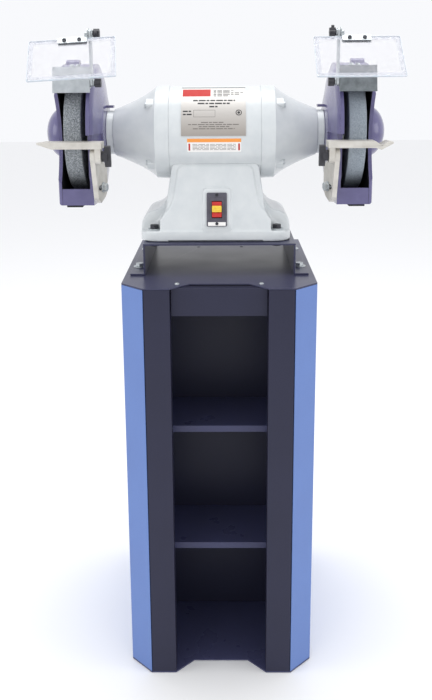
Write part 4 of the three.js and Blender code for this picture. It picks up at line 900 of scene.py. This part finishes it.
def guard_cover(end):
    """Pressed cover with a rolled edge and a dome over the shaft's end, cut back beside the wheel."""
    face = GUARD_OUT + 0.4
    step = 268.6
    quarter = [math.radians(90 * i / 16) for i in range(17)]
    dome = [(step - 1 + (DOME_END - step + 1) * math.sin(t), 45.8 * math.cos(t)) for t in quarter[:-1]]
    hollow = [(face + (DOME_END - 4 - face) * math.sin(t), 42 * math.cos(t)) for t in quarter[:-1]]
    cap = turned([(step - 3, 0), (step - 3, 45.8), *dome, (DOME_END, 0)], 96)
    bowl = turned([(face - 1, 0), (face - 1, 42), *hollow, (DOME_END - 4, 0)], 96)
    roll = [(face, 0.0), (face + 1.6, 0.0), (face + 3.4, 0.7), (face + 4.8, 1.9), (step - 0.2, 3.6),
            (step, 5.4)]
    plate = lofted([(x, guard_outline(inset)) for x, inset in roll])
    cut_back = prism(arc(-194, -7, 125, 0, 355, 71), "x", face - 9, DOME_END + 9)
    body = worked(worked(plate, "UNION", cap), "DIFFERENCE", bowl, cut_back)
    # The cover's inner face and the inside of its dome take the second coat, near-black painted shade.
    for patch in body.faces:
        spot = patch.calc_center_median()
        if spot.x < face + 0.2 or (patch.normal.x < -0.2 and math.hypot(spot.y, spot.z) < 43):
            patch.material_index = 1
    piece("guard_cover_pressing", body, PURPLE_ENAMEL, "stand", end, edge=0.8,
          nodes=(f"guard_cover_{end}",), coats=(CAVITY_PAINTED_SHADE,))
    for number, angle in enumerate((80, 10, -60), 1):
        y, z = 100 * math.cos(math.radians(angle)), 100 * math.sin(math.radians(angle))
        hex_screw(f"cover_screw_{number}", (step, y, z), (1, 0, 0), 10, ZINC, "stand", end)


# ---- eye shields ------------------------------------------------------------------------------
CLAMP_FROM = 207.0
LENS_TOP = (-110.0, 159.0)
LENS_TILT = math.radians(48)
LENS_MIDDLE = 231.0
LENS_WIDTH = 140.5
LENS_HEIGHT = 94.0
SKEW = {"left": math.radians(4.9), "right": 0.0}
PIVOTS = {"upper": (-98.0, 167.0), "lower": (-98.0, 88.0)}
EAR_FACE = 206.0  # inner face of the arrestor's ear
ARM_SHEET = 4.0


def on_lens(end):
    """Flat work, x across and z up the lens, into the tilted and skewed place."""
    lean = Matrix.Translation((CLAMP_FROM, *LENS_TOP)) @ Matrix.Rotation(-LENS_TILT, 4, "X")
    return lean @ Matrix.Rotation(SKEW[end], 4, "Y") @ Matrix.Translation((-CLAMP_FROM, 0, 0))


def eye_shield(end):
    """Clear sheet with a thicker moulded border, held in a folded clamp by two screws."""
    place = on_lens(end)
    centre = Matrix.Translation((LENS_MIDDLE, 0, -LENS_HEIGHT / 2))
    sheet = laid(prism(rounded(LENS_WIDTH / 2 - 1, LENS_HEIGHT / 2 - 1, 2), "y", -0.8, 0.8), place @ centre)
    piece("shield_sheet", sheet, CLEAR, f"shield_{end}", end,
          nodes=(f"shield_lens_{end}",))
    # The border's pale coat is a painted highlight for the lit edge.
    band = prism(rounded(LENS_WIDTH / 2, LENS_HEIGHT / 2, 3), "y", -1.5, 1.5)
    window = prism(rounded(LENS_WIDTH / 2 - 1.1, LENS_HEIGHT / 2 - 1.1, 2), "y", -3, 3)
    piece("shield_border", laid(worked(band, "DIFFERENCE", window), place @ centre), CLEAR_EDGE_PAINTED_HIGHLIGHT,
          f"shield_{end}", end, edge=0.3)
    # The band just inside the edge, on the sheet's front, is painted reflection of the edges.
    inner = prism(rounded(LENS_WIDTH / 2 - 1.2, LENS_HEIGHT / 2 - 1.2, 2), "y", -0.95, -0.82)
    opening = prism(rounded(LENS_WIDTH / 2 - 8, LENS_HEIGHT / 2 - 8, 2), "y", -3, 3)
    piece("shield_painted_reflection_band", laid(worked(inner, "DIFFERENCE", opening), place @ centre), CLEAR_PAINTED_REFLECTION_BAND,
          f"shield_{end}", end)
    for number, x in enumerate((219, 243.3), 1):
        seat = place @ Matrix.Translation((x, -3.4, -5.2))
        head = rod((0, 0, 0), (0, -1.8, 0), 3.4, 24)
        socket = rod((0, -0.9, 0), (0, -4, 0), 1.6, 6)
        piece(f"clamp_screw_{number}", laid(worked(head, "DIFFERENCE", socket), seat), DARK_STEEL,
              f"shield_{end}", end, edge=0.3)


def clamp_knobs(end):
    """Lobed knobs on screws, each with a bright collar nut against the arm."""
    face = EAR_FACE - 0.5 - ARM_SHEET - 0.5
    turns = [2 * math.pi * i / 48 for i in range(48)]
    outline = []
    for t in turns:
        radius = 7.2 + 0.8 * math.cos(6 * t)
        outline.append((radius * math.cos(t), radius * math.sin(t)))
    for level, (y, z) in PIVOTS.items():
        grip = prism(outline, "x", face - 13, face - 3)
        hub = rod((face - 4, 0, 0), (face - 1.8, 0, 0), 5, 28)
        knob = worked(grip, "UNION", hub)
        if level == "upper":
            wing = prism(rounded(2.9, 11.4, 2.6), "x", face - 9.9, face - 5.1)
            knob = worked(knob, "UNION", wing)
        turn = 90 if level == "upper" and end == "left" else 0
        place = Matrix.Translation((0, y, z)) @ Matrix.Rotation(math.radians(turn), 4, "X")
        body = f"{level}_knob_{end}"
        piece(f"{level}_knob_grip", laid(knob, place), BLACK_PLASTIC, body, end, edge=0.7,
              nodes=(f"shield_{level}_knob_{end}",))
        nut = rod((face - 1.9, 0, 0), (face, 0, 0), 6.2, 6)
        screw = rod((face - 3, 0, 0), (EAR_FACE + 6.4, 0, 0), 3, 24)
        piece(f"{level}_knob_screw", laid(worked(nut, "UNION", screw), place), ZINC, body,
              end, edge=0.3)


# ---- carried-over nodes -----------------------------------------------------------------------
def dress_the_rest():
    dress("base_cover", ZINC, 0.2)
    dress("start_capacitor", BLACK_PLASTIC, 0.4)
    dress("cable_gland", RUBBER, 0.4)
    dress("stator", VARNISH, 0.4)
    dress("rotor_shaft", GROUND, 0.4)
    # The right-hand arrestor takes the darker zinc copy, painted shade.
    arrestor_coats = {"left": ZINC, "right": ZINC_PAINTED_SHADE}
    for end in SIDES:
        dress(f"bearing_{end}", GROUND, 0.4)
        dress(f"inner_flange_{end}", ZINC, 0.3)
        dress(f"outer_flange_{end}", ZINC, 0.3)
        dress(f"arbor_nut_{end}", ZINC, 0.6)
        dress(f"spark_arrestor_{end}", arrestor_coats[end], 0.5)
        dress(f"shield_arm_{end}", ZINC, 0.5)
        dress(f"shield_clamp_{end}", ZINC, 0.5)
        dress(f"rest_table_{end}", RUBBED_CAST, 0.9)
        dress(f"rest_arm_{end}", RUBBED_CAST, 0.9)
        dress(f"rest_bolt_{end}", ZINC, 0.5)
        dress(f"rest_knob_{end}", BLACK_PLASTIC, 0.9)


def stand_fixings():
    """Riser bolts and the two bright screws near the front of the top plate."""
    down = (PLATE_TOP - SHAFT.z) / MM
    for number, (x, y) in enumerate([(s * 142.5, y) for s in (1, -1) for y in (-61, 91)], 1):
        at = (x - SHAFT.x / MM, y - SHAFT.y / MM, down + 3.4)
        hex_screw(f"riser_bolt_{number}", at, (0, 0, 1), 13, ZINC, "stand")
    for number, x in enumerate((-70, 70), 1):
        at = Vector((x - SHAFT.x / MM, -176 - SHAFT.y / MM, down + 0.1))
        head = rod(at, at + Vector((0, 0, 2.2)), 4.4, 28, end_radius=3)
        piece(f"plate_screw_{number}", head, ZINC, "stand", edge=0.3)


motor_drum()
base_casting()
rocker_switch()
rating_plate()
safety_label()
stand_fixings()
for side_name in SIDES:
    end_bell(side_name)
    guard_body(side_name)
    guard_cover(side_name)
    grinding_wheel(side_name)
    eye_shield(side_name)
    clamp_knobs(side_name)
dress_the_rest()
